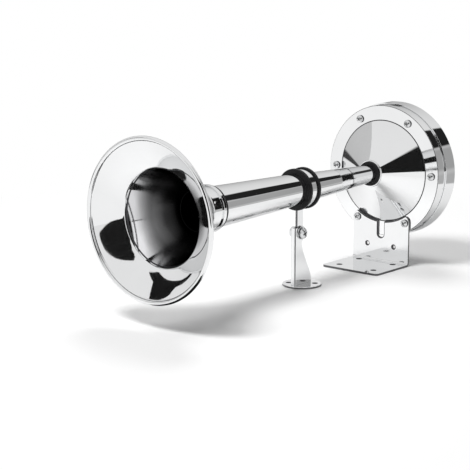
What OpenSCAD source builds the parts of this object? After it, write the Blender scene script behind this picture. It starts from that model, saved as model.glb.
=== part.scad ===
// Single-trumpet marine horn on a rear angle bracket and a front strap stand.
// The horn lies along X with its bell towards -X, +Z is up, millimetres.
// The origin is the centre of the rear bracket's base holes, on the deck.
// Distances along the horn are counted from the front face of the driver's
// flange: negative towards the bell, positive towards the terminals.

/* [Trumpet] */
// Outer diameter of the bell's rolled rim
bell_dia = 105; // [90:1:120]
// Front of the rim to the front face of the driver's flange
trumpet_len = 249; // [235:1:280]
// Length of the flared bell, rim to the end of its neck
bell_len = 57; // [50:1:64]
// Wall of the bell
bell_wall = 0.8; // [0.6:0.1:1.2]
// Diameter of the rolled bead on the rim
rim_bead = 3; // [2:0.2:4]
// Share of the flare's opening that the bowl has where the lip turns out
bowl_share = 0.48; // [0.42:0.02:0.54]
// Outer diameter of the front tube where it enters the bell
front_tube_dia = 27.2; // [24:0.2:30]
// Outer diameter of the front tube at the rubber ring
front_tube_end_dia = 21.6; // [20.6:0.2:22.6]
// Outer diameter of the rear tube at the driver's collar
rear_tube_end_dia = 12.7; // [11:0.1:14]
// Wall of both tubes
tube_wall = 0.8; // [0.6:0.1:1]
// Depth of the front tube in the bell's neck
neck_socket = 12; // [8:1:16]

/* [Rubber ring and strap] */
// Middle of the rubber ring, ahead of the flange
ring_ahead = 98; // [90:1:106]
// Outer diameter of the rubber ring
ring_dia = 28.6; // [27:0.2:32]
// Length of the rubber ring
ring_len = 12; // [10:0.5:14]
// Depth of its groove
groove_depth = 1.9; // [1.2:0.1:2.4]
// Width of the strap
strap_w = 6.2; // [5:0.2:7]
// Thickness of the strap
strap_t = 0.8; // [0.6:0.1:1]

/* [Front stand] */
// Height of the stand's pivot above the deck
pivot_height = 37.3; // [32:0.5:42]
// Diameter of the pivot screw
pivot_dia = 4; // [3:0.5:5]
// Sheet thickness of the stand
stand_t = 1; // [0.8:0.1:1.4]
// Gap between the stand's two cheeks
stand_gap = 2.3; // [2:0.1:3]
// Diameter of the stand's foot
foot_dia = 27; // [25:1:32]
// Thickness of the foot
foot_t = 1.5; // [1:0.1:2]
// Distance between the foot's two holes
foot_pitch = 18; // [17:0.2:19.6]
// Angle of the line through the foot's holes from the horn's axis
foot_turn = 56; // [45:1:90]
// Diameter of the foot's holes
foot_hole = 4.2; // [3.6:0.1:4.4]

/* [Rear bracket] */
// Height of the horn's axis above the deck
axis_height = 67.8; // [64:0.2:74]
// Width of the bracket
bracket_w = 48.6; // [46:0.2:54]
// Depth of its base
bracket_depth = 40; // [38:0.5:48]
// Sheet thickness of the bracket
bracket_t = 1.5; // [1.2:0.1:2]
// Distance between the base holes along the horn
base_pitch_x = 24; // [20:1:28]
// Distance between the base holes across the horn
base_pitch_y = 30; // [26:1:36]
// Diameter of the base holes
base_hole = 4.5; // [4:0.1:5]
// Rear pair of base holes, ahead of the flange
base_hole_ahead = 7; // [6:0.5:9]
// Width of the slot under the cone
slot_w = 5.4; // [4:0.2:7]
// Distance between the upright's two holes
upright_pitch = 23.2; // [20:0.2:28]
// Diameter of the upright's holes
upright_hole = 3.8; // [3:0.1:4.5]
// Height of the upright's holes
upright_hole_height = 13; // [11:0.5:14]

/* [Driver housing] */
// Outer diameter of the front cover
cover_dia = 95; // [94:0.5:100]
// Diameter of the cone where it meets the flange
cone_dia = 73.4; // [70:0.2:74]
// Height of the cone from the flange to its lip
cone_height = 16.6; // [15:0.2:20]
// Sheet thickness of both covers
cover_t = 1; // [0.8:0.1:1.2]
// Depth of the front cover's skirt
front_skirt = 10; // [9.6:0.2:12]
// Back of the rear cover's rim, behind the flange
rim_back = 20.5; // [20:0.5:24]
// Outer diameter of the rear cover's middle housing
turret_dia = 54; // [52:1:56]
// Back of the rear cover, behind the flange
cover_back = 44; // [43:0.5:48]
// Circle of the flange screws
screw_circle = 83.2; // [82.8:0.1:84]
// Diameter of the flange screws
screw_dia = 3; // [2.5:0.5:3]
// Rubber collar where the tube enters the cone
collar_dia = 17.5; // [17:0.1:18]

/* [Driver works] */
// Thickness of the throat plate
plate_t = 1.5; // [1.2:0.1:2]
// Thickness of each gasket
gasket_t = 0.8; // [0.5:0.1:1]
// Thickness of the diaphragm
diaphragm_t = 0.3; // [0.2:0.1:0.4]
// Depth of the diaphragm's dish
dish_depth = 1.9; // [1.7:0.1:2.1]
// Pull of the armature
stroke = 0.8; // [0.4:0.1:0.8]
// Diameter of the armature and the pole
armature_dia = 12; // [10:0.5:13]
// Room between the coil's cup and the rear cover round it
cup_gap = 2.6; // [2:0.1:3.4]
// Diameter of the adjusting screw
adjuster_dia = 4; // [3.5:0.1:4]

/* [Hidden] */

// Clearances
slip = 0.05;
hole_gap = 0.2;
loose = 0.5;

// Frame of the horn
flange_x = base_hole_ahead + base_pitch_x / 2;
axis_z = axis_height;

// Trumpet
mouth_x = -trumpet_len;
neck_x = mouth_x + bell_len;
neck_r = front_tube_dia / 2 + slip;
bead_r = rim_bead / 2;
mouth_r = bell_dia / 2 - bead_r;
lip_set_back = 1;
bend_at = 0.207;
throat_at = 0.57;
neck_at = 0.79;
throat_share = 0.235;
lip_curl = 0.13;
ring_x = -ring_ahead;
ring_front = ring_x - ring_len / 2;
ring_back = ring_x + ring_len / 2;
front_end_r = front_tube_end_dia / 2;
rear_start_r = front_end_r - tube_wall - slip;
rear_end_r = rear_tube_end_dia / 2;
tube_joint = 10;
front_end_x = ring_x + 2;

// Ring and strap
groove_w = strap_w + 2 * 0.1;
groove_r = ring_dia / 2 - groove_depth;
strap_r = groove_r + slip;
leg_gap = 0.2;
strap_fillet = 1.5;

// Bracket
shoulder_r = 4.5;
ear_rise = 0.5;
slot_depth = 13;
base_corner = 3;

// Stand
cheek_y = stand_gap / 2 + stand_t;
eye_r = 4.9;
web_ahead = 6.8;
neck_behind = 0.1;
flare_behind = 10.9;
foot_behind = 3.4;
web_over = 4;
washer_t = 0.5;
washer_r = 1.1 * pivot_dia;
pivot_head_r = pivot_dia;
pivot_head_t = 0.65 * pivot_dia;
pivot_nut_t = 0.8 * pivot_dia;
pivot_nut_flats = 1.75 * pivot_dia;

// Covers
cover_r = cover_dia / 2;
cone_r = cone_dia / 2;
collar_r = collar_dia / 2;
lip_r = collar_r + slip + 0.9;
lip_len = 1.4;
seat_depth = 3.4;
cone_run = cone_r - lip_r;
cone_rise = cone_height - lip_len;
cone_slant = sqrt(cone_run * cone_run + cone_rise * cone_rise);
cone_slope = cone_run / cone_rise;
inner_shift_r = cover_t * cone_rise / cone_slant;
inner_shift_x = cover_t * cone_run / cone_slant;
stack_r = cover_r - cover_t - loose;
gasket_r = screw_circle / 2 - 3.6;
rear_wall = 0.9;
rear_cover_r = cover_r + 0.1 + rear_wall;
turret_r = turret_dia / 2;
edge_r = 1.4;

// Stack of the clamped rim, front to back
plate_x = cover_t;
gasket_x = plate_x + plate_t;
diaphragm_x = gasket_x + gasket_t;
rear_gasket_x = diaphragm_x + diaphragm_t;
frame_x = rear_gasket_x + gasket_t;
frame_t = 1.5;
nut_x = frame_x + frame_t;
screw_nut_t = 2.4;
screw_nut_flats = 5.5;
screw_head_r = 2.8;
screw_head_t = 2.1;
throat_seat = -3;
hub_len = 6;

// Moving works
spindle_r = 2;
dish_x = diaphragm_x + dish_depth;
works_washer_t = 0.8;
works_washer_r = 8;
works_nut_t = 1.4;
works_nut_flats = 7;
shoulder_x = dish_x + diaphragm_t + works_washer_t;
armature_r = armature_dia / 2;
striker_x = shoulder_x + 2.7;
striker_t = 1.2;
striker_r = 9.5;

// Frame, coil and pole
frame_wall = 1.2;
frame_r = gasket_r;
shelf_x = rim_back - 4.5;
cup_r = turret_r - rear_wall - cup_gap;
cup_back = cover_back - cover_t - 1;
cup_floor_t = 2;
stud_r = 3;
bobbin_x = shelf_x - 1;
bobbin_back = cup_back - cup_floor_t;
bobbin_wall = 1;
bobbin_flange = 1.2;
bobbin_r = cup_r - frame_wall - loose;
winding_r = bobbin_r - 1.3;
pole_r = armature_r + 0.3;
bobbin_bore = pole_r + hole_gap;
armature_reach = 8;
armature_back = shelf_x + armature_reach;
pole_x = armature_back + stroke + 0.4;
stud_end = cover_back + 6;
stud_spacer_r = 9;
stud_washer_t = 1;
stud_nut_t = 4;
stud_nut_flats = 10;

// Contact breaker
stack_y = cup_r - frame_wall + 1.7;
stack_w = 5;
stack_h = 8;
leaf_t = 0.4;
leaf_gap = 0.02;
leaf_x = striker_x + striker_t + leaf_gap;
leaf_w = 6;
leaf_tip_y = striker_r - 1.5;
arm_t = 0.6;
arm_x = leaf_x - 2.2;
contact_r = 1.5;
contact_y = 17;
contact_gap = 0.02;
adjuster_r = adjuster_dia / 2;
boss_r = adjuster_r + 2;
boss_len = 3.5;
locknut_t = 2.2;
locknut_flats = 7;
adjuster_out = turret_r + edge_r + 2.1 + locknut_flats / 2;

// Terminals
terminal_pitch = 9;
block_t = 5;
blade_w = 6.3;
block_h = blade_w + 2.7;
terminal_down = turret_r + edge_r + 0.1 + block_h / 2;
blade_t = 0.8;
blade_len = 9;

fine = 96;
round_fn = 48;

// The larger of two values, with a rounded change from one to the other
function larger(a, b, blend) = max(a, b) + pow(max(blend - abs(a - b), 0), 2) / (4 * blend);

// Opening of the bell's bore, from the lip (0) to the neck (1): a steep lip,
// a shallow bowl and a short funnel into the neck
function bell_lip(w) = bowl_share + (1 - bowl_share) * ((1 - lip_curl) * w + lip_curl * pow(max(w, 0), 2));
function bell_bowl(u) = bowl_share + (throat_share - bowl_share) * (u - bend_at) / (throat_at - bend_at);
function bell_funnel(u) = throat_share * (neck_at - u) / (neck_at - throat_at);
function bell_open(u) = larger(larger(-larger(-bell_bowl(u), -bell_funnel(u), 0.03), 0, 0.05),
    bell_lip((bend_at - u) / bend_at), 0.016);
function bell_r(u) = neck_r + (mouth_r - neck_r) * bell_open(u);
function bell_x(u) = mouth_x + lip_set_back + u * (bell_len - lip_set_back);
function bell_point(u) = [bell_r(u), bell_x(u)];
function bell_tangent(u) = bell_point(min(u + 0.002, 1)) - bell_point(max(u - 0.002, 0));
function outward(t) = [t[1], -t[0]] / norm(t);
bell_steps = [0, 0.03, 0.06, 0.09, 0.12, 0.15, 0.18, 0.195, 0.2, 0.205, 0.21, 0.215, 0.225, 0.25, 0.3,
    0.36, 0.42, 0.48, 0.52, 0.54, 0.56, 0.58, 0.6, 0.63, 0.68, 0.73, 0.76, 0.775, 0.79, 0.805, 0.82, 0.86, 1];

// A revolved piece on the horn's axis, drawn as [radius, distance] points
module turned(points) {
    translate([flange_x, 0, axis_z]) rotate([0, 90, 0])
        rotate_extrude($fn = fine) polygon(points);
}

// A round bar or hole along the horn, at a place across it
module bar(x, len, r, y = 0, z = 0) {
    translate([flange_x + x, y, axis_z + z]) rotate([0, 90, 0])
        cylinder(h = len, r = r, $fn = round_fn);
}

// A hexagon along the horn, flats towards the axis
module hexagon(x, len, flats, y = 0) {
    translate([flange_x + x, y, axis_z]) rotate([0, 90, 0]) rotate([0, 0, 30])
        cylinder(h = len, r = flats / 2 / cos(30), $fn = 6);
}

// A block along the horn, centred across it
module block(x, len, y, z, w, h) {
    translate([flange_x + x, y - w / 2, axis_z + z - h / 2]) cube([len, w, h]);
}

// Children at each of the flange's screw places, turned to face outwards
module at_screws(angles) {
    for (a = angles)
        translate([flange_x, screw_circle / 2 * cos(a), axis_z + screw_circle / 2 * sin(a)])
            rotate([a, 0, 0]) children();
}

top_screws = [0, 60, 120, 180];
bracket_screw_angles = [240, 300];
all_screws = concat(top_screws, bracket_screw_angles);

module screw_holes(x, len) {
    at_screws(all_screws) translate([x, 0, 0]) rotate([0, 90, 0])
        cylinder(h = len, r = screw_dia / 2 + hole_gap, $fn = 32);
}

// Pan head with a cross recess, its seat at 0, its crown towards -Z
module pan_head(r, t) {
    difference() {
        rotate_extrude($fn = 40) polygon([[0, -t], [r * 0.5, -t * 0.96], [r * 0.86, -t * 0.74],
            [r, -t * 0.36], [r, 0], [0, 0]]);
        for (a = [0, 90]) rotate([0, 0, a])
            translate([-r * 0.55, -r * 0.11, -t - 0.1]) cube([r * 1.1, r * 0.22, t * 0.55]);
    }
}

module bell() {
    color([0.86, 0.87, 0.89]) {
        turned(concat([for (u = bell_steps) bell_point(u)],
            [for (i = [len(bell_steps) - 1:-1:0]) let (u = bell_steps[i])
                bell_point(u) + bell_wall * outward(bell_tangent(u))]));
        translate([flange_x, 0, axis_z]) rotate([0, 90, 0]) rotate_extrude($fn = fine)
            translate([mouth_r, mouth_x + bead_r]) circle(r = bead_r, $fn = 32);
    }
}

module ferrule_ring() {
    r0 = neck_r + bell_wall + slip;
    color([0.84, 0.85, 0.87]) turned([[r0, neck_x - 2], [r0 + 0.4, neck_x - 2],
        [r0 + 1, neck_x - 1.4], [r0 + 1, neck_x + 0.2], [r0 + 0.4, neck_x + 0.8],
        [neck_r, neck_x + 0.8], [neck_r, neck_x], [r0, neck_x]]);
}

module front_tube() {
    r1 = front_tube_dia / 2;
    start = neck_x - neck_socket;
    taper = neck_x + 1;
    color([0.82, 0.83, 0.85]) turned([[r1, start], [r1, taper], [front_end_r, ring_front],
        [front_end_r, front_end_x], [front_end_r - tube_wall, front_end_x],
        [front_end_r - tube_wall, ring_front], [r1 - tube_wall, taper], [r1 - tube_wall, start]]);
}

module rear_tube() {
    start = front_end_x - tube_joint;
    taper = front_end_x + 1;
    parallel = -cone_height - 4;
    color([0.82, 0.83, 0.85]) turned([[rear_start_r, start], [rear_start_r, taper],
        [rear_end_r, parallel], [rear_end_r, throat_seat], [rear_end_r - tube_wall, throat_seat],
        [rear_end_r - tube_wall, parallel], [rear_start_r - tube_wall, taper],
        [rear_start_r - tube_wall, start]]);
}

module rubber_ring() {
    r = ring_dia / 2;
    bevel = 0.3;
    bore = front_end_r + slip;
    rear_bore = rear_start_r + slip;
    color([0.08, 0.08, 0.09]) turned([[bore, ring_front], [r - bevel, ring_front],
        [r, ring_front + bevel], [r, ring_x - groove_w / 2], [groove_r, ring_x - groove_w / 2],
        [groove_r, ring_x + groove_w / 2], [r, ring_x + groove_w / 2], [r, ring_back - bevel],
        [r - bevel, ring_back], [rear_bore, ring_back], [rear_bore, front_end_x + slip],
        [bore, front_end_x + slip]]);
}

module strap_clamp() {
    outer_r = strap_r + strap_t;
    leg_y = leg_gap / 2 + strap_t;
    leg_top = axis_z - strap_r - strap_t / 2;
    fillet_y = leg_y + strap_fillet;
    fillet_z = -sqrt(pow(outer_r + strap_fillet, 2) - fillet_y * fillet_y);
    tangent_y = fillet_y * outer_r / (outer_r + strap_fillet);
    color([0.8, 0.81, 0.83]) difference() {
        union() {
            translate([flange_x + ring_x - strap_w / 2, 0, axis_z]) rotate([0, 90, 0])
                cylinder(h = strap_w, r = outer_r, $fn = fine);
            translate([flange_x + ring_x - strap_w / 2, -leg_y, pivot_height])
                cube([strap_w, 2 * leg_y, leg_top - pivot_height]);
            translate([flange_x + ring_x, leg_y, pivot_height]) rotate([90, 0, 0])
                cylinder(h = 2 * leg_y, r = strap_w / 2, $fn = round_fn);
            translate([flange_x + ring_x - strap_w / 2, -tangent_y, axis_z + fillet_z])
                cube([strap_w, 2 * tangent_y, -strap_r - strap_t / 2 - fillet_z]);
        }
        for (y = [-fillet_y, fillet_y])
            translate([flange_x + ring_x - strap_w, y, axis_z + fillet_z]) rotate([0, 90, 0])
                cylinder(h = 2 * strap_w, r = strap_fillet, $fn = round_fn);
        translate([flange_x + ring_x - strap_w, 0, axis_z]) rotate([0, 90, 0])
            cylinder(h = 2 * strap_w, r = strap_r, $fn = fine);
        translate([flange_x + ring_x - strap_w, -leg_gap / 2, pivot_height - strap_w])
            cube([2 * strap_w, leg_gap, axis_z - pivot_height + strap_w]);
        translate([flange_x + ring_x, strap_w, pivot_height]) rotate([90, 0, 0])
            cylinder(h = 2 * strap_w, r = pivot_dia / 2 + slip, $fn = round_fn);
    }
}

module apex_collar() {
    proud = 1.7;
    bore = rear_end_r + slip;
    front = -cone_height - proud;
    back = seat_depth - cone_height;
    color([0.08, 0.08, 0.09]) turned([[bore, front], [collar_r - 0.6, front],
        [collar_r, front + 0.6], [collar_r, back], [bore, back]]);
}

module front_cover() {
    seat = seat_depth - cone_height;
    seat_back = seat + 0.8;
    inner_base_r = cone_r - inner_shift_r + (cover_t - inner_shift_x) * cone_slope;
    color([0.87, 0.88, 0.9]) difference() {
        turned([[collar_r + slip, -cone_height], [lip_r, -cone_height],
            [lip_r, lip_len - cone_height], [cone_r, 0], [cover_r - 1, 0], [cover_r - 0.3, 0.3],
            [cover_r, 1], [cover_r, front_skirt], [cover_r - cover_t, front_skirt],
            [cover_r - cover_t, cover_t], [inner_base_r, cover_t],
            [inner_base_r + (seat_back - cover_t) * cone_slope, seat_back],
            [rear_end_r + 1, seat_back], [rear_end_r + 1, seat], [collar_r + slip, seat]]);
        screw_holes(-1, cover_t + 2);
    }
}

module throat_plate() {
    hub_r = rear_end_r + 3;
    color([0.55, 0.56, 0.58]) difference() {
        turned([[rear_end_r - tube_wall - 1.2, throat_seat], [rear_end_r + slip, throat_seat],
            [rear_end_r + slip, throat_seat - hub_len], [hub_r, throat_seat - hub_len],
            [hub_r, plate_x], [stack_r, plate_x], [stack_r, gasket_x],
            [rear_end_r - tube_wall - 1.2, gasket_x]]);
        screw_holes(plate_x - 1, plate_t + 2);
    }
}

module gasket(x) {
    difference() {
        turned([[gasket_r, x], [stack_r, x], [stack_r, x + gasket_t], [gasket_r, x + gasket_t]]);
        screw_holes(x - 1, gasket_t + 2);
    }
}

module front_gasket() { color([0.16, 0.16, 0.17]) gasket(gasket_x); }
module rear_gasket() { color([0.16, 0.16, 0.17]) gasket(rear_gasket_x); }

module diaphragm() {
    rim_in = gasket_r - 1.5;
    dish_r = rim_in - 6;
    bore = spindle_r + slip;
    color([0.7, 0.72, 0.75]) difference() {
        turned([[bore, dish_x], [dish_r, dish_x], [rim_in, diaphragm_x], [stack_r, diaphragm_x],
            [stack_r, diaphragm_x + diaphragm_t], [rim_in, diaphragm_x + diaphragm_t],
            [dish_r, dish_x + diaphragm_t], [bore, dish_x + diaphragm_t]]);
        screw_holes(diaphragm_x - 1, diaphragm_t + 2);
    }
}

module driver_frame() {
    color([0.13, 0.13, 0.14]) difference() {
        union() {
            turned([[frame_r - frame_wall, frame_x], [stack_r, frame_x], [stack_r, nut_x],
                [frame_r, nut_x], [frame_r, shelf_x + frame_t], [cup_r, shelf_x + frame_t],
                [cup_r, cup_back], [stud_r + hole_gap, cup_back],
                [stud_r + hole_gap, cup_back - cup_floor_t],
                [cup_r - frame_wall, cup_back - cup_floor_t], [cup_r - frame_wall, shelf_x],
                [frame_r - frame_wall, shelf_x]]);
            bar(shelf_x - boss_len, boss_len + frame_t / 2, boss_r, adjuster_out);
        }
        screw_holes(frame_x - 1, frame_t + 2);
        bar(shelf_x - boss_len - 1, boss_len + frame_t + 2, adjuster_r + slip, adjuster_out);
        stack_screws(1 + slip, shelf_x - 1, frame_t + 2);
    }
}

module rear_cover() {
    r = rear_cover_r;
    t = rear_wall;
    front = front_skirt - 1;
    back_in = rim_back - t;
    color([0.84, 0.85, 0.87]) difference() {
        turned([[r - t, front], [r, front], [r, rim_back - edge_r],
            [r - edge_r * 0.3, rim_back - edge_r * 0.3], [r - edge_r, rim_back],
            [turret_r + edge_r, rim_back], [turret_r + edge_r * 0.3, rim_back + edge_r * 0.3],
            [turret_r, rim_back + edge_r], [turret_r, cover_back - edge_r],
            [turret_r - edge_r * 0.3, cover_back - edge_r * 0.3], [turret_r - edge_r, cover_back],
            [stud_r + hole_gap, cover_back], [stud_r + hole_gap, cover_back - t],
            [turret_r - edge_r, cover_back - t], [turret_r - t, cover_back - edge_r],
            [turret_r - t, back_in], [r - edge_r, back_in], [r - t, rim_back - edge_r]]);
        bar(back_in - 1, t + 2, adjuster_r + 0.3, adjuster_out);
        block(back_in - 1, t + 2, 0, -terminal_down, terminal_pitch + 3, blade_w + 0.6);
    }
}

module flange_screw(seat) {
    rotate([0, 90, 0]) {
        translate([0, 0, seat]) pan_head(screw_head_r, screw_head_t);
        translate([0, 0, seat - 0.2])
            cylinder(h = nut_x + screw_nut_t + 0.6 - seat, r = screw_dia / 2, $fn = 32);
    }
}

module cover_screws() { color([0.75, 0.76, 0.78]) at_screws(top_screws) flange_screw(0); }

module bracket_screws() {
    color([0.75, 0.76, 0.78]) at_screws(bracket_screw_angles) flange_screw(-bracket_t);
}

module cover_nuts() {
    color([0.6, 0.61, 0.63]) at_screws(all_screws) translate([nut_x, 0, 0]) rotate([0, 90, 0])
        difference() {
            cylinder(h = screw_nut_t, r = screw_nut_flats / 2 / cos(30), $fn = 6);
            translate([0, 0, -1]) cylinder(h = screw_nut_t + 2, r = screw_dia / 2 + slip, $fn = 32);
        }
}

module rear_bracket() {
    half = bracket_w / 2;
    screw_y = screw_circle / 2 * cos(300);
    screw_z = axis_z + screw_circle / 2 * sin(300);
    shoulder = shoulder_r;
    bend = bracket_t;
    corner = base_corner;
    cut_r = cone_r + loose;
    slot_end = screw_z - slot_depth + slot_w / 2;
    color([0.83, 0.84, 0.86]) translate([flange_x, 0, 0]) difference() {
        union() {
            translate([-bracket_t, -half, bend + bracket_t])
                cube([bracket_t, bracket_w, screw_z + ear_rise - bend - bracket_t]);
            for (s = [-1, 1]) translate([-bracket_t, s * (half - shoulder), screw_z + ear_rise])
                rotate([0, 90, 0]) cylinder(h = bracket_t, r = shoulder, $fn = 64);
            translate([-bracket_t, shoulder - half, screw_z])
                cube([bracket_t, bracket_w - 2 * shoulder, shoulder + ear_rise]);
            translate([-bend - bracket_t, half, bend + bracket_t]) rotate([90, 0, 0])
                intersection() {
                    difference() {
                        cylinder(h = bracket_w, r = bend + bracket_t, $fn = 64);
                        translate([0, 0, -1]) cylinder(h = bracket_w + 2, r = bend, $fn = 64);
                    }
                    translate([0, -bend - bracket_t, 0])
                        cube([bend + bracket_t, bend + bracket_t, bracket_w]);
                }
            translate([-bracket_depth, corner - half, 0])
                cube([bracket_depth - bend - bracket_t, bracket_w - 2 * corner, bracket_t]);
            translate([corner - bracket_depth, -half, 0])
                cube([bracket_depth - corner - bend - bracket_t, bracket_w, bracket_t]);
            for (s = [-1, 1]) translate([corner - bracket_depth, s * (half - corner), 0])
                cylinder(h = bracket_t, r = corner, $fn = 48);
        }
        translate([-bracket_t - 1, 0, axis_z]) rotate([0, 90, 0])
            cylinder(h = bracket_t + 2, r = cut_r, $fn = fine);
        translate([-bracket_t - 1, 0, slot_end]) rotate([0, 90, 0])
            cylinder(h = bracket_t + 2, r = slot_w / 2, $fn = 48);
        translate([-bracket_t - 1, -slot_w / 2, slot_end])
            cube([bracket_t + 2, slot_w, axis_z - slot_end]);
        for (s = [-1, 1]) {
            translate([-bracket_t - 1, s * upright_pitch / 2, upright_hole_height])
                rotate([0, 90, 0]) cylinder(h = bracket_t + 2, r = upright_hole / 2, $fn = 48);
            translate([-bracket_t - 1, s * screw_y, screw_z]) rotate([0, 90, 0])
                cylinder(h = bracket_t + 2, r = screw_dia / 2 + hole_gap, $fn = 32);
            for (x = [base_hole_ahead, base_hole_ahead + base_pitch_x])
                translate([-x, s * base_pitch_y / 2, -1])
                    cylinder(h = bracket_t + 2, r = base_hole / 2, $fn = 48);
        }
    }
}

// Side view of one cheek of the stand, x from the pivot, z from the deck
module cheek_outline() {
    top = pivot_height + web_over;
    h = pivot_height - eye_r - 2;
    polygon([[-web_ahead, foot_t], [flare_behind, foot_t], [flare_behind - 0.1, foot_t + 2.8],
        [flare_behind - 0.9, h * 0.26], [flare_behind - 2.6, h * 0.38], [flare_behind - 6, h * 0.6],
        [flare_behind - 9, h * 0.8], [neck_behind + 0.6, h * 0.92], [neck_behind, h],
        [neck_behind + 0.6, h + 2], [0, pivot_height], [-web_ahead + 2, top], [-web_ahead, top]]);
}

module front_stand() {
    px = flange_x + ring_x;
    foot_x = px + foot_behind;
    color([0.8, 0.81, 0.83]) difference() {
        union() {
            translate([foot_x, 0, 0]) cylinder(h = foot_t, r = foot_dia / 2, $fn = fine);
            for (y = [-stand_gap / 2, cheek_y]) translate([px, y, 0]) rotate([90, 0, 0]) {
                linear_extrude(height = stand_t) cheek_outline();
                translate([0, pivot_height, 0]) cylinder(h = stand_t, r = eye_r, $fn = round_fn);
            }
            translate([px - web_ahead, -cheek_y, foot_t])
                cube([stand_t, 2 * cheek_y, pivot_height + web_over - foot_t]);
        }
        translate([px, cheek_y + 1, pivot_height]) rotate([90, 0, 0])
            cylinder(h = 2 * cheek_y + 2, r = pivot_dia / 2 + slip, $fn = round_fn);
        for (s = [-1, 1]) translate([foot_x, 0, -1]) rotate([0, 0, -foot_turn])
            translate([s * foot_pitch / 2, 0, 0])
                cylinder(h = foot_t + 2, r = foot_hole / 2, $fn = 48);
    }
}

module pivot_screw() {
    px = flange_x + ring_x;
    seat = cheek_y + slip / 2 + washer_t;
    color([0.75, 0.76, 0.78]) translate([px, -seat, pivot_height]) rotate([-90, 0, 0]) {
        rotate([0, 0, 20]) pan_head(pivot_head_r, pivot_head_t);
        translate([0, 0, -0.2])
            cylinder(h = 2 * seat + pivot_nut_t + 1, r = pivot_dia / 2, $fn = round_fn);
    }
}

module pivot_washers() {
    px = flange_x + ring_x;
    color([0.7, 0.71, 0.73]) for (y = [-cheek_y - slip / 2, cheek_y + slip / 2 + washer_t])
        translate([px, y, pivot_height]) rotate([90, 0, 0]) difference() {
            cylinder(h = washer_t, r = washer_r, $fn = round_fn);
            translate([0, 0, -1])
                cylinder(h = washer_t + 2, r = pivot_dia / 2 + slip, $fn = round_fn);
        }
}

module pivot_nut() {
    px = flange_x + ring_x;
    y = cheek_y + slip / 2 + washer_t;
    color([0.7, 0.71, 0.73]) translate([px, y, pivot_height]) rotate([-90, 0, 0]) difference() {
        cylinder(h = pivot_nut_t, r = pivot_nut_flats / 2 / cos(30), $fn = 6);
        translate([0, 0, -1]) cylinder(h = pivot_nut_t + 2, r = pivot_dia / 2 + slip, $fn = round_fn);
    }
}

module armature() {
    spindle_x = dish_x - works_washer_t - works_nut_t;
    color([0.45, 0.46, 0.48]) turned([[0, spindle_x], [spindle_r, spindle_x],
        [spindle_r, shoulder_x], [armature_r, shoulder_x], [armature_r, striker_x],
        [striker_r, striker_x], [striker_r, striker_x + striker_t],
        [armature_r, striker_x + striker_t], [armature_r, armature_back], [0, armature_back]]);
}

module diaphragm_washers() {
    color([0.62, 0.63, 0.65]) for (x = [dish_x - works_washer_t, dish_x + diaphragm_t])
        turned([[spindle_r + slip, x], [works_washer_r, x], [works_washer_r, x + works_washer_t],
            [spindle_r + slip, x + works_washer_t]]);
}

module diaphragm_nut() {
    x = dish_x - works_washer_t - works_nut_t;
    color([0.62, 0.63, 0.65]) difference() {
        hexagon(x, works_nut_t, works_nut_flats);
        bar(x - 1, works_nut_t + 2, spindle_r + slip);
    }
}

module coil_bobbin() {
    tube_r = bobbin_bore + bobbin_wall;
    color([0.12, 0.12, 0.13]) turned([[bobbin_bore, bobbin_x], [bobbin_r, bobbin_x],
        [bobbin_r, bobbin_x + bobbin_flange], [tube_r, bobbin_x + bobbin_flange],
        [tube_r, bobbin_back - bobbin_flange], [bobbin_r, bobbin_back - bobbin_flange],
        [bobbin_r, bobbin_back], [bobbin_bore, bobbin_back]]);
}

module coil_winding() {
    inner = bobbin_bore + bobbin_wall + slip;
    x0 = bobbin_x + bobbin_flange + slip;
    x1 = bobbin_back - bobbin_flange - slip;
    color([0.72, 0.38, 0.18]) turned([[inner, x0], [winding_r, x0], [winding_r, x1],
        [inner, x1]]);
}

module pole_core() {
    color([0.5, 0.51, 0.53]) turned([[0, pole_x], [pole_r, pole_x], [pole_r, bobbin_back],
        [stud_r, bobbin_back], [stud_r, stud_end], [0, stud_end]]);
}

module stud_ring(x, t, r) {
    turned([[stud_r + hole_gap, x], [r, x], [r, x + t], [stud_r + hole_gap, x + t]]);
}

module stud_spacer() {
    color([0.2, 0.2, 0.22]) stud_ring(cup_back, cover_back - rear_wall - cup_back, stud_spacer_r);
}

module stud_washer() { color([0.7, 0.71, 0.73]) stud_ring(cover_back, stud_washer_t, 6.5); }

module stud_nut() {
    color([0.7, 0.71, 0.73]) difference() {
        hexagon(cover_back + stud_washer_t, stud_nut_t, stud_nut_flats);
        bar(cover_back, stud_nut_t + 2, stud_r + slip);
    }
}

// The two small screws of the contact stack
module stack_screws(r, x, len) {
    for (z = [-2.2, 2.2]) bar(x, len, r, stack_y + stack_w / 2, z);
}

module stack_slab(x, t) {
    difference() {
        block(x, t, stack_y + stack_w / 2, 0, stack_w, stack_h);
        stack_screws(1 + slip, x - 1, t + 2);
    }
}

module contact_insulators() {
    color([0.45, 0.27, 0.14]) {
        stack_slab(leaf_x + leaf_t, shelf_x - leaf_x - leaf_t);
        stack_slab(arm_x + arm_t, leaf_x - arm_x - arm_t);
    }
}

module contact_root() { color([0.75, 0.6, 0.3]) stack_slab(leaf_x, leaf_t); }

module contact_leaf() {
    y1 = stack_y - slip;
    color([0.78, 0.62, 0.32]) {
        block(leaf_x, leaf_t, (leaf_tip_y + y1) / 2, 0, y1 - leaf_tip_y, leaf_w);
        bar(arm_x + arm_t + 0.8 + contact_gap, leaf_x - arm_x - arm_t - 0.8 - contact_gap + leaf_t / 2,
            contact_r, contact_y);
    }
}

module contact_arm() {
    y0 = contact_y - 2.5;
    y1 = adjuster_out + 2;
    color([0.75, 0.6, 0.3]) difference() {
        union() {
            block(arm_x, arm_t, (y0 + y1) / 2, 0, y1 - y0, stack_h - 2);
            bar(arm_x, arm_t + 0.8, contact_r, contact_y);
        }
        stack_screws(1 + slip, arm_x - 1, arm_t + 2);
    }
}

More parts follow.
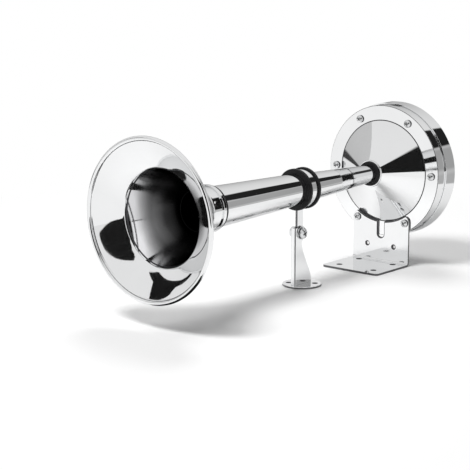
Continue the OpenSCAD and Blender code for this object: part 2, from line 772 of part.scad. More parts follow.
module contact_screws() {
    color([0.7, 0.71, 0.73]) {
        stack_screws(1.8, arm_x - 0.9, 0.9);
        stack_screws(1, arm_x - 0.5, shelf_x + frame_t - arm_x + 0.5);
    }
}

module adjusting_screw() {
    x0 = arm_x + arm_t + slip;
    x1 = rim_back + 5;
    color([0.72, 0.6, 0.3]) difference() {
        bar(x0, x1 - x0, adjuster_r, adjuster_out);
        block(x1 - 1, 2, adjuster_out, 0, adjuster_dia + 1, 0.8);
    }
}

module adjuster_locknut() {
    color([0.7, 0.71, 0.73]) difference() {
        hexagon(rim_back, locknut_t, locknut_flats, adjuster_out);
        bar(rim_back - 1, 5, adjuster_r + slip, adjuster_out);
    }
}

module terminal_block() {
    color([0.1, 0.1, 0.11]) difference() {
        block(rim_back, block_t, 0, -terminal_down, 2 * terminal_pitch, block_h);
        for (s = [-1, 1]) block(rim_back - 1, block_t + 2, s * terminal_pitch / 2, -terminal_down,
            blade_t + 2 * slip, blade_w + 2 * slip);
    }
}

module terminals() {
    x0 = shelf_x + frame_t + 0.5;
    color([0.8, 0.76, 0.62]) for (s = [-1, 1]) difference() {
        block(x0, rim_back + block_t + blade_len - x0, s * terminal_pitch / 2, -terminal_down,
            blade_t, blade_w);
        translate([flange_x + rim_back + block_t + blade_len - 3.5, s * terminal_pitch / 2 + 2,
            axis_z - terminal_down]) rotate([90, 0, 0]) cylinder(h = 4, r = 0.9, $fn = 32);
    }
}

bell();
ferrule_ring();
front_tube();
rubber_ring();
strap_clamp();
rear_tube();
apex_collar();
front_cover();
throat_plate();
front_gasket();
diaphragm();
rear_gasket();
driver_frame();
rear_cover();
cover_screws();
bracket_screws();
cover_nuts();
rear_bracket();
front_stand();
pivot_screw();
pivot_washers();
pivot_nut();
armature();
diaphragm_washers();
diaphragm_nut();
coil_bobbin();
coil_winding();
pole_core();
stud_spacer();
stud_washer();
stud_nut();
contact_insulators();
contact_root();
contact_leaf();
contact_arm();
contact_screws();
adjusting_screw();
adjuster_locknut();
terminal_block();
terminals();
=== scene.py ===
# %% [markdown]
# # A trumpet horn in polished steel
# This lesson dresses a measured model of a small marine horn: a flared bell,
# a tapering two-part trumpet, a round driver housing, an angle bracket at the
# back and a strap stand at the front. The measured solids come first and stay
# where they are. Each visible piece is then modelled again with its rounded
# edges and rolled rims, because polished steel shows its shape only through
# what it reflects, and a sharp edge reflects nothing.

# %% Start from the measured model
from math import asin, atan2, cos, hypot, pi, radians, sin, sqrt, tan, tau

import bpy
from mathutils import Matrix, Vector


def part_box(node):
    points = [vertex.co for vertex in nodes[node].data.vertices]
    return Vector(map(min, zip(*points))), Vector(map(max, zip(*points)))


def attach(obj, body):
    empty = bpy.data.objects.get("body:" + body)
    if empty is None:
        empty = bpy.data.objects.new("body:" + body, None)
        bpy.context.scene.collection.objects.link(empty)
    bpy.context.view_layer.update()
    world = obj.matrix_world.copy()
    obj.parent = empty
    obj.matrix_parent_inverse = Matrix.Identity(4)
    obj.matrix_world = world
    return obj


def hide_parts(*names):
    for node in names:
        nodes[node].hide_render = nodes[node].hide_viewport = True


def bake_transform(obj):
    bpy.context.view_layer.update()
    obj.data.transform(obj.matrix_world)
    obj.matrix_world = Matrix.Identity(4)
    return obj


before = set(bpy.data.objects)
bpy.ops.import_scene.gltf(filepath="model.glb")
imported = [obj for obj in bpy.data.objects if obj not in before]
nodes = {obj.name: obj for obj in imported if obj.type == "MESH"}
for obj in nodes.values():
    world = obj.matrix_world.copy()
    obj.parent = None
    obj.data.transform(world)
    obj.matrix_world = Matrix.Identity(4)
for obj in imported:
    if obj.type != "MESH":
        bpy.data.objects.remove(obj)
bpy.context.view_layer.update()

# %% [markdown]
# ## Units and the horn's own axis
# All sizes below are in millimetres, as on a workshop drawing, and become
# metres only when a point is placed. Distances along the horn are counted from
# the front face of the driver's flange, so the bell has negative ones. Most
# pieces are round about one axis, so a point is given as a distance along that
# axis and a radius.

# %% Units and places
MM = 0.001
FLANGE = 19.0
AXIS = 67.8
AXIS_POINT = Vector((FLANGE, 0, AXIS)) * MM


def along(x, radius):
    """A point above the horn's axis, in metres."""
    return Vector((FLANGE + x, 0, AXIS + radius)) * MM


def place(x, y, z):
    """A point by its distance from the flange, its side and its height above the deck."""
    return Vector((FLANGE + x, y, z)) * MM


# %% [markdown]
# ## The camera
# A long lens, a little above the horn and well to the bell's side, is what
# makes the bell look large and the driver still read as a circle. The camera
# comes first so that every later choice can be judged through it.

# %% Camera
VIEW_TURN = radians(-49.69)
VIEW_RISE = radians(11.71)
back = Vector((sin(VIEW_TURN) * cos(VIEW_RISE),
               -cos(VIEW_TURN) * cos(VIEW_RISE), sin(VIEW_RISE)))
bpy.ops.object.camera_add(location=Vector((-923.8, -659.2, 257.6)) * MM,
                          rotation=(-back).to_track_quat("-Z", "Y").to_euler())
camera = bpy.context.object
camera.data.sensor_width = 36
camera.data.lens = 36 * 1600 / 470
camera.data.clip_end = 20
bpy.context.scene.camera = camera
print("lens %.1f mm" % camera.data.lens)

# %% [markdown]
# ## Drawing an outline
# A spun or turned piece is drawn once as an outline and swept round the axis,
# the way it is made on a lathe. There is no single-point primitive, so a
# triangle is merged to its middle, and that point is extruded from corner to
# corner. `rounded` replaces each corner by a small arc first: those arcs catch
# the thin bright lines that make steel look like steel.

# %% Outline helpers
def rounded(corners, steps=5):
    """Corners as (along, across, rounding) become a closed outline with an arc at each."""
    outline = []
    for i, (x, r, rounding) in enumerate(corners):
        corner = Vector((x, r))
        before = Vector(corners[i - 1][:2]) - corner
        after = Vector(corners[(i + 1) % len(corners)][:2]) - corner
        if not rounding:
            outline.append(corner)
            continue
        half = before.angle(after) / 2
        cut = min(rounding / tan(half), 0.45 * min(before.length, after.length))
        radius = cut * tan(half)
        centre = corner + (before.normalized() + after.normalized()).normalized() * radius / sin(half)
        start = corner + before.normalized() * cut - centre
        end = corner + after.normalized() * cut - centre
        turn = start.angle_signed(end)
        for k in range(steps + 1):
            a = turn * k / steps
            outline.append(centre + Vector((start.x * cos(a) + start.y * sin(a),
                                            start.y * cos(a) - start.x * sin(a))))
    return outline


def draw(name, points):
    """A new mesh in edit mode: one closed line of edges through the points."""
    bpy.ops.mesh.primitive_circle_add(vertices=3, radius=MM, location=(0, 0, 0))
    piece = bpy.context.object
    piece.name = piece.data.name = name
    bpy.ops.object.mode_set(mode="EDIT")
    bpy.ops.mesh.select_all(action="SELECT")
    bpy.ops.mesh.merge(type="CENTER")
    bpy.ops.transform.translate(value=points[0])
    for here, there in zip(points, points[1:] + points[:1]):
        bpy.ops.mesh.extrude_region_move(TRANSFORM_OT_translate={"value": there - here})
    bpy.ops.mesh.select_all(action="SELECT")
    bpy.ops.mesh.remove_doubles(threshold=1e-7)
    return piece


def only(piece):
    """Selects one piece and makes it active."""
    bpy.ops.object.select_all(action="DESELECT")
    piece.select_set(True)
    bpy.context.view_layer.objects.active = piece


# %% [markdown]
# ## Turning and folding
# Sweeping the outline once round an axis makes a lathe piece, and pushing it
# straight out makes a folded strip. Doubles are merged, faces turned outwards
# and the shading is smooth up to an angle. Normals weighted by area then keep
# the broad faces flat in a reflection, right up to their narrow roundings.

# %% Turning and shading helpers
def modify(piece, kind, **settings):
    """Adds a modifier with its settings and applies it at once."""
    only(piece)
    modifier = piece.modifiers.new(kind.lower(), kind)
    for key, value in settings.items():
        setattr(modifier, key, value)
    bpy.ops.object.modifier_apply(modifier=modifier.name)


def shade(piece, angle=30):
    """Smooth up to an angle, with the broad faces keeping their own direction next to small roundings."""
    only(piece)
    bpy.ops.object.shade_smooth_by_angle(angle=radians(angle))
    modify(piece, "WEIGHTED_NORMAL", keep_sharp=True)
    return piece


def close_up(piece, smooth=30):
    """Merges doubles, turns the faces outwards and shades the piece smooth up to an angle."""
    bpy.ops.mesh.select_all(action="SELECT")
    bpy.ops.mesh.remove_doubles(threshold=1e-6)
    bpy.ops.mesh.normals_make_consistent(inside=False)
    bpy.ops.object.mode_set(mode="OBJECT")
    return shade(piece, smooth)


def turn_on_axis(name, corners, steps=144, centre=AXIS_POINT, axis=(1, 0, 0), to_place=along,
                 smooth=30, arc=5):
    """A closed outline of (along, radius, rounding) swept once round an axis."""
    piece = draw(name, [to_place(*p) for p in rounded(corners, arc)])
    bpy.ops.mesh.spin(steps=steps, angle=tau, center=centre, axis=axis)
    return close_up(piece, smooth)


def prism(name, points, depth):
    """A closed outline filled and extruded by a vector."""
    piece = draw(name, points)
    bpy.ops.mesh.edge_face_add()
    bpy.ops.mesh.extrude_region_move(TRANSFORM_OT_translate={"value": depth})
    return close_up(piece)


def join(name, pieces):
    """Several pieces become one object."""
    only(pieces[0])
    for piece in pieces[1:]:
        piece.select_set(True)
    bpy.ops.object.join()
    pieces[0].name = pieces[0].data.name = name
    return pieces[0]


# %% [markdown]
# ## Cutting and rounding
# Sheet is punched, so holes, slots and bays are cut by a boolean with a plain
# bar or block. A bevel limited by angle then breaks all the sharp edges at
# once, more evenly than picking them one by one.

# %% Cutting helpers
def cut(piece, cutter, operation="DIFFERENCE"):
    """Cuts a piece with another, which is then deleted."""
    modify(piece, "BOOLEAN", operation=operation, solver="EXACT", object=cutter)
    bpy.data.objects.remove(cutter)
    return piece


def merge(piece):
    """Makes one of all points that lie on one another."""
    only(piece)
    bpy.ops.object.mode_set(mode="EDIT")
    bpy.ops.mesh.select_all(action="SELECT")
    bpy.ops.mesh.remove_doubles(threshold=1e-6)
    bpy.ops.object.mode_set(mode="OBJECT")


def soften(piece, width, segments=3, angle=40):
    """Rounds every edge sharper than an angle, then shades smooth."""
    merge(piece)
    modify(piece, "BEVEL", width=width * MM, segments=segments, limit_method="ANGLE",
           angle_limit=radians(angle), use_clamp_overlap=True)
    return shade(piece, 35)


def settled(name):
    """Names the object just added and brings its origin to zero."""
    piece = bpy.context.object
    piece.name = piece.data.name = name
    bpy.ops.object.transform_apply(location=True, rotation=True, scale=True)
    return piece


def rod(name, centre, radius, depth, axis, sides=48):
    """A plain round bar, used as a cutter or as a blank, its middle at a place."""
    bpy.ops.mesh.primitive_cylinder_add(
        vertices=sides, radius=radius * MM, depth=depth * MM, location=centre,
        rotation=Vector(axis).to_track_quat("Z", "Y").to_euler())
    return settled(name)


def slab(name, centre, size):
    """A plain block, used as a cutter or as a blank."""
    bpy.ops.mesh.primitive_cube_add(size=1, location=centre, scale=Vector(size) * MM)
    return settled(name)


# %% [markdown]
# ## Finishes
# Every finish is a Principled shader whose colour, gloss and relief come from
# noise in Object coordinates, so nothing stretches and nothing slides. The
# grain vector stretches the noise: small along one axis and large along
# another gives the fine lines that a polishing wheel or a rolling mill leaves.
# The node helpers add to whichever tree is called `tree` at the time.

# %% Node helpers
def set_inputs(node, values):
    """Sets a node's inputs by name or number: a socket is linked, anything else is written."""
    for key, value in values.items():
        if isinstance(value, bpy.types.NodeSocket):
            node.id_data.links.new(value, node.inputs[key])
        else:
            node.inputs[key].default_value = value
    return node


def node_of(kind, inputs=None, **settings):
    """A new node in the tree that is being made, with its settings and inputs."""
    made = tree.nodes.new(kind)
    for key, value in settings.items():
        setattr(made, key, value)
    return set_inputs(made, inputs or {})


def calc(operation, *values):
    """A math node on one or two values or sockets."""
    return node_of("ShaderNodeMath", dict(enumerate(values)), operation=operation).outputs["Value"]


def edge(value, low, high):
    """A soft step from 0 to 1 between two values."""
    return node_of("ShaderNodeMapRange", {"Value": value, "From Min": low, "From Max": high},
                   interpolation_type="SMOOTHSTEP").outputs["Result"]


def mix_of(share, first, second):
    """A mix of two shaders."""
    return node_of("ShaderNodeMixShader", {0: share, 1: first, 2: second}).outputs["Shader"]


# %% [markdown]
# One function makes every finish. Broad noise chooses between a darker and a
# lighter colour, broad and fine noise together set the roughness, and the fine
# grain alone is the relief.

# %% Finish helpers
def finish(name, dark, light, metallic, gloss, patch=40, grain=(900, 900, 900), relief=0.02,
           depth=0.02, coat=0.0, edge_tint=1.0, shine=0.5):
    """A procedural finish: colour from broad patches, roughness and relief from fine grain."""
    global tree
    material = bpy.data.materials.new(name)
    material.use_nodes = True
    tree = material.node_tree
    place_on = node_of("ShaderNodeTexCoord").outputs["Object"]
    broad = node_of("ShaderNodeTexNoise", {"Vector": place_on, "Scale": patch, "Detail": 4}).outputs["Fac"]
    stretch = node_of("ShaderNodeMapping", {"Vector": place_on, "Scale": grain}).outputs["Vector"]
    fine = node_of("ShaderNodeTexNoise", {"Vector": stretch, "Scale": 1, "Detail": 3}).outputs["Fac"]
    tint = node_of("ShaderNodeValToRGB", {"Fac": broad})
    for element, position, colour in zip(tint.color_ramp.elements, (0.3, 0.7), (dark, light)):
        element.position, element.color = position, (*colour, 1)
    dull = node_of("ShaderNodeMapRange", {"Value": calc("MULTIPLY", broad, fine), "From Min": 0.12,
                                          "From Max": 0.4, "To Min": gloss[0], "To Max": gloss[1]})
    bump = node_of("ShaderNodeBump", {"Strength": relief, "Distance": depth * MM, "Height": fine})
    set_inputs(tree.nodes["Principled BSDF"], {
        "Base Color": tint.outputs["Color"], "Roughness": dull.outputs["Result"],
        "Normal": bump.outputs["Normal"], "Metallic": metallic, "Coat Weight": coat,
        "Specular IOR Level": shine, "Specular Tint": (edge_tint, edge_tint, edge_tint, 1)})
    return material


def dress(piece, material, body, slot, *replaced):
    """Gives a finished piece its material and its body, and hides the measured nodes it stands for. Its
    slot is not used.
    """
    if not piece.data.materials:
        piece.data.materials.append(material)
    if replaced:
        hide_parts(*replaced)
    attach(piece, body)
    print("%-18s %6d faces" % (piece.name, len(piece.data.polygons)))
    return piece


def paint(piece, material, test):
    """Another finish for the faces whose place (mm, from the flange) and normal pass a test."""
    piece.data.materials.append(material)
    for face in piece.data.polygons:
        if test(face.center / MM - Vector((FLANGE, 0, 0)), face.normal):
            face.material_index = len(piece.data.materials) - 1
    return piece


def off_axis(spot):
    """The part of a place in mm that is square to the horn's axis."""
    return Vector((0, spot.y, spot.z - AXIS))


# %% [markdown]
# Steel differs from piece to piece by its gloss more than by its colour: the
# spun parts are mirrors, bent sheet is a little duller, screws and cut edges
# duller still. Rubber and nylon are nearly black, with one broad, weak shine.

# %% Steel and black finishes
polished = finish("polished_steel", (0.91, 0.915, 0.92), (0.94, 0.945, 0.95), 1.0, (0.025, 0.045),
                  grain=(2500, 160, 160), depth=0.003, edge_tint=0.6)
throat_satin_painted_shade = finish("throat_satin_painted_shade", (0.52, 0.52, 0.53), (0.62, 0.62, 0.63), 1.0, (0.2, 0.3),
                      grain=(1800, 15, 15), relief=0.08, depth=0.004, edge_tint=0.1)
# painted shade: a near-black steel laid on recesses, creases, grooves, punched steps and sheet edges,
# drawing the dark lines and contact shadows that fall there
painted_shade_metal = finish("painted_shade_metal", (0.10, 0.10, 0.105), (0.16, 0.16, 0.165), 1.0, (0.35, 0.5),
                      relief=0.2, depth=0.01)
bright_sheet = finish("bright_sheet", (0.85, 0.855, 0.86), (0.89, 0.895, 0.90), 1.0, (0.05, 0.09),
                      grain=(150, 150, 1600), relief=0.04, depth=0.004)
screw_steel = finish("screw_steel", (0.72, 0.73, 0.74), (0.80, 0.805, 0.81), 1.0, (0.14, 0.22),
                     relief=0.1, depth=0.01)
plated_steel = finish("plated_steel", (0.58, 0.59, 0.61), (0.66, 0.67, 0.68), 1.0, (0.3, 0.42),
                      grain=(700, 700, 700), relief=0.2, depth=0.01)
spring_steel = finish("spring_steel", (0.56, 0.58, 0.61), (0.63, 0.65, 0.68), 1.0, (0.2, 0.3),
                      grain=(60, 60, 1500), relief=0.15, depth=0.005)
soft_iron = finish("soft_iron", (0.38, 0.38, 0.40), (0.46, 0.46, 0.48), 1.0, (0.34, 0.48),
                   grain=(2500, 200, 200), relief=0.3, depth=0.01)
black_rubber = finish("black_rubber", (0.004, 0.004, 0.0045), (0.008, 0.008, 0.009), 0.0, (0.4, 0.55),
                      patch=90, grain=(2600, 2600, 2600), relief=0.35, depth=0.03, shine=0.25)
gasket_fibre = finish("gasket_fibre", (0.07, 0.07, 0.078), (0.11, 0.11, 0.12), 0.0, (0.7, 0.85),
                      patch=300, grain=(1500, 1500, 1500), relief=0.5, depth=0.04)
black_enamel = finish("black_enamel", (0.025, 0.025, 0.028), (0.034, 0.034, 0.037), 0.0, (0.25, 0.34),
                      patch=120, grain=(500, 500, 500), relief=0.12, depth=0.03, coat=0.3)
black_nylon = finish("black_nylon", (0.020, 0.020, 0.023), (0.030, 0.030, 0.033), 0.0, (0.38, 0.5),
                     patch=120, grain=(1800, 1800, 1800), relief=0.25, depth=0.02)

# %% [markdown]
# ## Satin that darkens with depth
# Light that enters the bell bounces until little is left, so its inside runs
# from silver at the bend to black at the neck. A colour ramp along the horn's
# length draws that in one step, where many bounces would only make noise. The
# last shine goes the same way: the deeper, the duller.

# %% Depth ramp
SATIN_FROM, SATIN_TO = FLANGE - 236, FLANGE - 206
# painted shade: greys along the depth, from silver at the bend to near black at the neck, standing in for
# the light lost between bounces
DEPTH_SHADE_GREYS = ((0, 0.94), (0.2, 0.9), (0.33, 0.62), (0.5, 0.38), (0.65, 0.2), (0.8, 0.06), (1, 0.008))
tree = throat_satin_painted_shade.node_tree
split = node_of("ShaderNodeSeparateXYZ", {"Vector": node_of("ShaderNodeTexCoord").outputs["Object"]})
depth_in = node_of("ShaderNodeMapRange", {"Value": split.outputs["X"], "From Min": SATIN_FROM * MM,
                                          "From Max": SATIN_TO * MM}).outputs["Result"]
painted_depth_shade = node_of("ShaderNodeValToRGB", {"Fac": depth_in})
while len(painted_depth_shade.color_ramp.elements) < len(DEPTH_SHADE_GREYS):
    painted_depth_shade.color_ramp.elements.new(0.5)
for element, (position, grey) in zip(painted_depth_shade.color_ramp.elements, DEPTH_SHADE_GREYS):
    element.position, element.color = position, (grey, grey, grey * 1.01, 1)
set_inputs(tree.nodes["Principled BSDF"], {
    "Base Color": painted_depth_shade.outputs["Color"],
    "Roughness": calc("ADD", calc("MULTIPLY", edge(depth_in, 0.2, 0.6), 0.2), 0.04)})
print("satin ramp over %.0f mm" % (SATIN_TO - SATIN_FROM))

# %% [markdown]
# Copper, brass and bronze are metals with a colour of their own. The winding's
# relief is deep and close, because its turns are modelled as one ring.

# %% Copper, bronze and laminate finishes
enamelled_wire = finish("enamelled_wire", (0.50, 0.20, 0.08), (0.66, 0.29, 0.12), 1.0, (0.22, 0.34),
                        grain=(2200, 60, 60), relief=1.0, depth=0.15, coat=0.5)
brown_laminate = finish("brown_laminate", (0.24, 0.125, 0.055), (0.38, 0.21, 0.10), 0.0, (0.45, 0.6),
                        patch=200, grain=(5000, 300, 300), relief=0.3, depth=0.03)
contact_bronze = finish("contact_bronze", (0.68, 0.48, 0.24), (0.76, 0.56, 0.30), 1.0, (0.22, 0.32),
                        grain=(200, 1500, 200), relief=0.15, depth=0.006)
screw_brass = finish("screw_brass", (0.68, 0.52, 0.24), (0.76, 0.60, 0.31), 1.0, (0.2, 0.3),
                     grain=(2500, 200, 200), relief=0.2, depth=0.01)
tinned_brass = finish("tinned_brass", (0.70, 0.68, 0.62), (0.78, 0.76, 0.70), 1.0, (0.22, 0.32),
                      grain=(200, 200, 1500), relief=0.15, depth=0.006)

# %% [markdown]
# ## The bell
# The bell is one sheet, spun over a former until it opens like a flower, with
# its edge rolled over a wire. The flare follows a curve that opens evenly for
# most of its length and turns out fast at the lip. Drawing that curve from a
# formula keeps it free of flats, which a mirror finish would show at once. The
# inner skin and the outer skin are a wall apart, and the roll joins them.

# %% Bell
MOUTH, BELL_LEN, LIP_SET_BACK = -249.0, 57.0, 1.0
NECK_R, LIP_R = 13.65, 51.0
BELL_WALL, BEAD_R = 0.8, 1.5
BEAD_CENTRE = Vector((MOUTH + BEAD_R, LIP_R))
BEND_AT, THROAT_AT, NECK_AT = 0.207, 0.57, 0.79
BOWL_SHARE, THROAT_SHARE, LIP_CURL = 0.48, 0.235, 0.13


def larger(a, b, blend):
    """The larger of two values, with a rounded change from one to the other."""
    return max(a, b) + max(blend - abs(a - b), 0) ** 2 / (4 * blend)


def bore(u):
    """The bell's inner skin, from the lip (0) to the neck (1)."""
    w = (BEND_AT - u) / BEND_AT
    lip = BOWL_SHARE + (1 - BOWL_SHARE) * ((1 - LIP_CURL) * w + LIP_CURL * max(w, 0) ** 2)
    bowl = BOWL_SHARE + (THROAT_SHARE - BOWL_SHARE) * (u - BEND_AT) / (THROAT_AT - BEND_AT)
    funnel = THROAT_SHARE * (NECK_AT - u) / (NECK_AT - THROAT_AT)
    opening = larger(larger(-larger(-bowl, -funnel, 0.03), 0, 0.05), lip, 0.016)
    return Vector((MOUTH + LIP_SET_BACK + u * (BELL_LEN - LIP_SET_BACK),
                   NECK_R + (LIP_R - NECK_R) * opening))


def skin(u, off):
    """A point off the inner skin by a distance, square to it."""
    run = bore(min(u + 0.002, 1)) - bore(max(u - 0.002, 0))
    return bore(u) + Vector((-run.y, run.x)).normalized() * off


def leaves_bead(off):
    """Where a skin comes out of the roll."""
    u = 0.0
    while (skin(u, off) - BEAD_CENTRE).length < BEAD_R and u < 0.2:
        u += 0.0005
    return u


BENDS = ((0.025, 0.03), (BEND_AT, 0.05), (THROAT_AT, 0.1), (NECK_AT, 0.12))
flare = sorted({i / 44 for i in range(45)} | {at + spread * (i / 12 - 0.5) for at, spread in BENDS
                                              for i in range(13) if at + spread * (i / 12 - 0.5) > 0})
inner = [skin(u, 0) for u in flare if u > leaves_bead(0) + 0.002]
outer = [skin(u, BELL_WALL) for u in flare if u > leaves_bead(BELL_WALL) + 0.002]
first, last = inner[0] - BEAD_CENTRE, outer[0] - BEAD_CENTRE
sweep_from = atan2(first.y, first.x)
sweep_to = atan2(last.y, last.x) - (tau if last.angle_signed(first) < 0 else 0)
while sweep_to > sweep_from - pi:
    sweep_to -= tau
roll = [BEAD_CENTRE + BEAD_R * Vector((cos(a), sin(a)))
        for a in (sweep_from + (sweep_to - sweep_from) * k / 28 for k in range(1, 28))]
bell_outline = [(p.x, p.y, 0) for p in inner[::-1] + roll + outer]
bell = turn_on_axis("bell", bell_outline, steps=192, smooth=40)
print("bell's mouth %.1f mm across" % (2 * max(p[1] for p in bell_outline)))

# %% [markdown]
# Only the lip and the flare are buffed to a mirror. Deep in the throat the
# wheel can't reach, so the inner skin there is satin, and its colour carries
# the painted shade of the depth ramp. Its faces are found by their place and
# get a second material. The narrow bend before it gets the near-black steel: a
# painted dark reflection line.

# %% Satin throat
THROAT_TO, CREASE_TO = 30.3, 30.95
dress(bell, polished, "horn", "polished_steel", "bell")
# painted shade: the throat's inner skin takes the satin with its depth ramp
paint(bell, throat_satin_painted_shade, lambda spot, n: off_axis(spot).length < THROAT_TO and n.dot(off_axis(spot)) < 0)
# painted dark reflection: the narrow bend before the throat takes the near-black steel
paint(bell, painted_shade_metal, lambda spot, n: THROAT_TO <= off_axis(spot).length < CREASE_TO
      and n.dot(off_axis(spot)) < 0)

# %% [markdown]
# ## Ring, tubes and collar
# The trumpet is two tapered tubes. A small beaded ring covers the seam where
# the front tube enters the bell's neck, a rubber channel ring hides the joint
# between the tubes and takes the strap, and a soft black collar seals the tube
# where it goes into the driver. All are lathe pieces, so one helper makes them.

# %% Trumpet
TUBE_MOUTH, RING_FRONT, RING_BACK = -204.0, -194.0, -191.2
trumpet = [
    ("ferrule_ring", polished, "polished_steel", [
        (RING_FRONT, 14.5, 0), (RING_FRONT, 15.5, 0.3), (-191.7, 15.5, 0.3), (RING_BACK, 14.9, 0.1),
        (RING_BACK, 14.85, 0), (-189.1, 14.7, 0.4), (-189.1, 13.6, 0), (-192, 13.6, 0), (-192, 14.5, 0)]),
    ("front_tube", polished, "polished_steel", [
        (TUBE_MOUTH, 13.6, 0.1), (-191, 13.6, 0), (-104, 10.8, 0), (-96, 10.8, 0.2), (-96, 10.0, 0.2),
        (-104, 10.0, 0), (-191, 12.8, 0), (TUBE_MOUTH, 12.8, 0.6)]),
    ("rear_tube", polished, "polished_steel", [
        (-106, 9.95, 0.2), (-95, 9.95, 0), (-20.6, 6.35, 0), (-3, 6.35, 0.2), (-3, 5.55, 0.2),
        (-20.6, 5.55, 0), (-95, 9.15, 0), (-106, 9.15, 0.2)]),
    ("rubber_ring", black_rubber, "black_rubber", [
        (-104, 10.85, 0.1), (-104, 14.3, 0.7), (-101.2, 14.3, 0.5), (-101.2, 12.4, 0.15),
        (-94.8, 12.4, 0.15), (-94.8, 14.3, 0.5), (-92, 14.3, 0.7), (-92, 10.0, 0.1),
        (-95.95, 10.0, 0), (-95.95, 10.85, 0)]),
    ("apex_collar", black_rubber, "black_rubber", [
        (-18.3, 6.4, 0.15), (-18.3, 8.75, 0.8), (-13.2, 8.75, 0.1), (-13.2, 6.4, 0.1)]),
]
tubes = {}
for name, material, slot, corners in trumpet:
    tubes[name] = dress(turn_on_axis(name, corners, steps=128), material, "horn", slot, name)
# painted shade: the ring's back step takes black rubber, drawing the dark gap line where the ring meets
# the tube
paint(tubes["ferrule_ring"], black_rubber, lambda spot, n: spot.x > RING_BACK - 0.05)
# painted shade: the tube's bore lies past the depth ramp's end and takes its near-black shade
paint(tubes["front_tube"], throat_satin_painted_shade,
      lambda spot, n: spot.x < TUBE_MOUTH + 0.5 or n.dot(off_axis(spot)) < -0.1)

# %% [markdown]
# ## The driver's two covers
# Both covers are deep-drawn from sheet: the front one rises in a cone to the
# tube, the rear one is a cup whose rim slips over the front cover's skirt. A
# press never leaves a square corner, so the outlines carry a radius at every
# bend, wide on the outside and tight at the crease under the cone.

# %% Covers
COVER_T, REAR_T = 1.0, 0.9
FLANGE_R, RIM_R, TURRET_R = 47.5, 48.5, 27.0
CONE_TOP, CONE_TOP_R, CONE_R = -16.6, 9.7, 36.45
SKIRT_BACK, RIM_BACK, COVER_BACK = 10.0, 20.5, 44.0
front_cover = turn_on_axis("front_cover", [
    (CONE_TOP, 8.8, 0.1), (CONE_TOP, CONE_TOP_R, 0.35), (-15.2, CONE_TOP_R, 0.25), (-0.15, CONE_R, 0.1),
    (0.35, 36.6, 0.15), (0.35, 36.95, 0.15), (0, 37.05, 0.12), (0, FLANGE_R, 0.45),
    (SKIRT_BACK, FLANGE_R, 0.2), (SKIRT_BACK, FLANGE_R - COVER_T, 0.2), (COVER_T, FLANGE_R - COVER_T, 0.6),
    (COVER_T, 36.15, 0.4), (-12.4, 12.3, 0.3), (-12.4, 7.35, 0.1), (-13.2, 7.35, 0.1),
    (-13.2, 8.8, 0.1)], steps=192, smooth=24)
rear_cover = turn_on_axis("rear_cover", [
    (9, RIM_R - REAR_T, 0.1), (9, RIM_R, 0.14), (RIM_BACK, RIM_R, 0.7), (RIM_BACK, 28.4, 1.3),
    (21.9, TURRET_R, 0), (COVER_BACK, TURRET_R, 1.7), (COVER_BACK, 3.2, 0.1),
    (COVER_BACK - REAR_T, 3.2, 0.1), (COVER_BACK - REAR_T, TURRET_R - REAR_T, 0.9),
    (21.9, TURRET_R - REAR_T, 0), (RIM_BACK - REAR_T, TURRET_R - REAR_T, 0.5),
    (RIM_BACK - REAR_T, RIM_R - REAR_T, 0.9)], steps=192, smooth=24)

# %% [markdown]
# Holes are cut where the real sheets are punched: six through the front
# cover's flange for its screws, one at the back for the adjusting screw and a
# window for the two terminal blades. The groove at the cone's foot and the
# flange's outer edge get the near-black steel: painted shade in the groove and
# a painted dark line along the edge.

# %% Punched holes
SCREW_CIRCLE_R, SCREW_HOLE_R = 41.6, 1.7
SCREW_ANGLES = (0, 60, 120, 180, 240, 300)
ADJUSTER_Y = 34.0
TERMINAL_Z = AXIS - 33.0


def screw_place(x, degrees):
    """A place on the flange's screw circle."""
    a = radians(degrees)
    return place(x, SCREW_CIRCLE_R * cos(a), AXIS + SCREW_CIRCLE_R * sin(a))


for degrees in SCREW_ANGLES:
    cut(front_cover, rod("punch", screw_place(COVER_T / 2, degrees), SCREW_HOLE_R, 3, (1, 0, 0), 32))
cut(rear_cover, rod("punch", place(20, ADJUSTER_Y, AXIS), 2.3, 3, (1, 0, 0), 40))
cut(rear_cover, slab("punch", place(20, 0, TERMINAL_Z), (3, 12, 6.9)))
for piece, name in ((front_cover, "front_cover"), (rear_cover, "rear_cover")):
    dress(shade(piece, 24), polished, "horn", "polished_steel", name)
# painted shade: the groove at the cone's foot and the flange's outer edge turn near black
paint(front_cover, painted_shade_metal,
      lambda spot, n: -0.3 < spot.x < 0.4 and 36.3 < off_axis(spot).length < 37.15
      or spot.x < 0.3 and off_axis(spot).length > FLANGE_R - 0.35)

# %% [markdown]
# ## Screws, nuts and washers
# A pan-head screw is a low dome with a cross recess. It is turned as an
# outline about its own axis, lying along X with its head towards the bell, the
# recess is cut with two crossed blades, and the copies are moved to their
# places. Nuts are six-sided bars with chamfered corners and a bored middle.

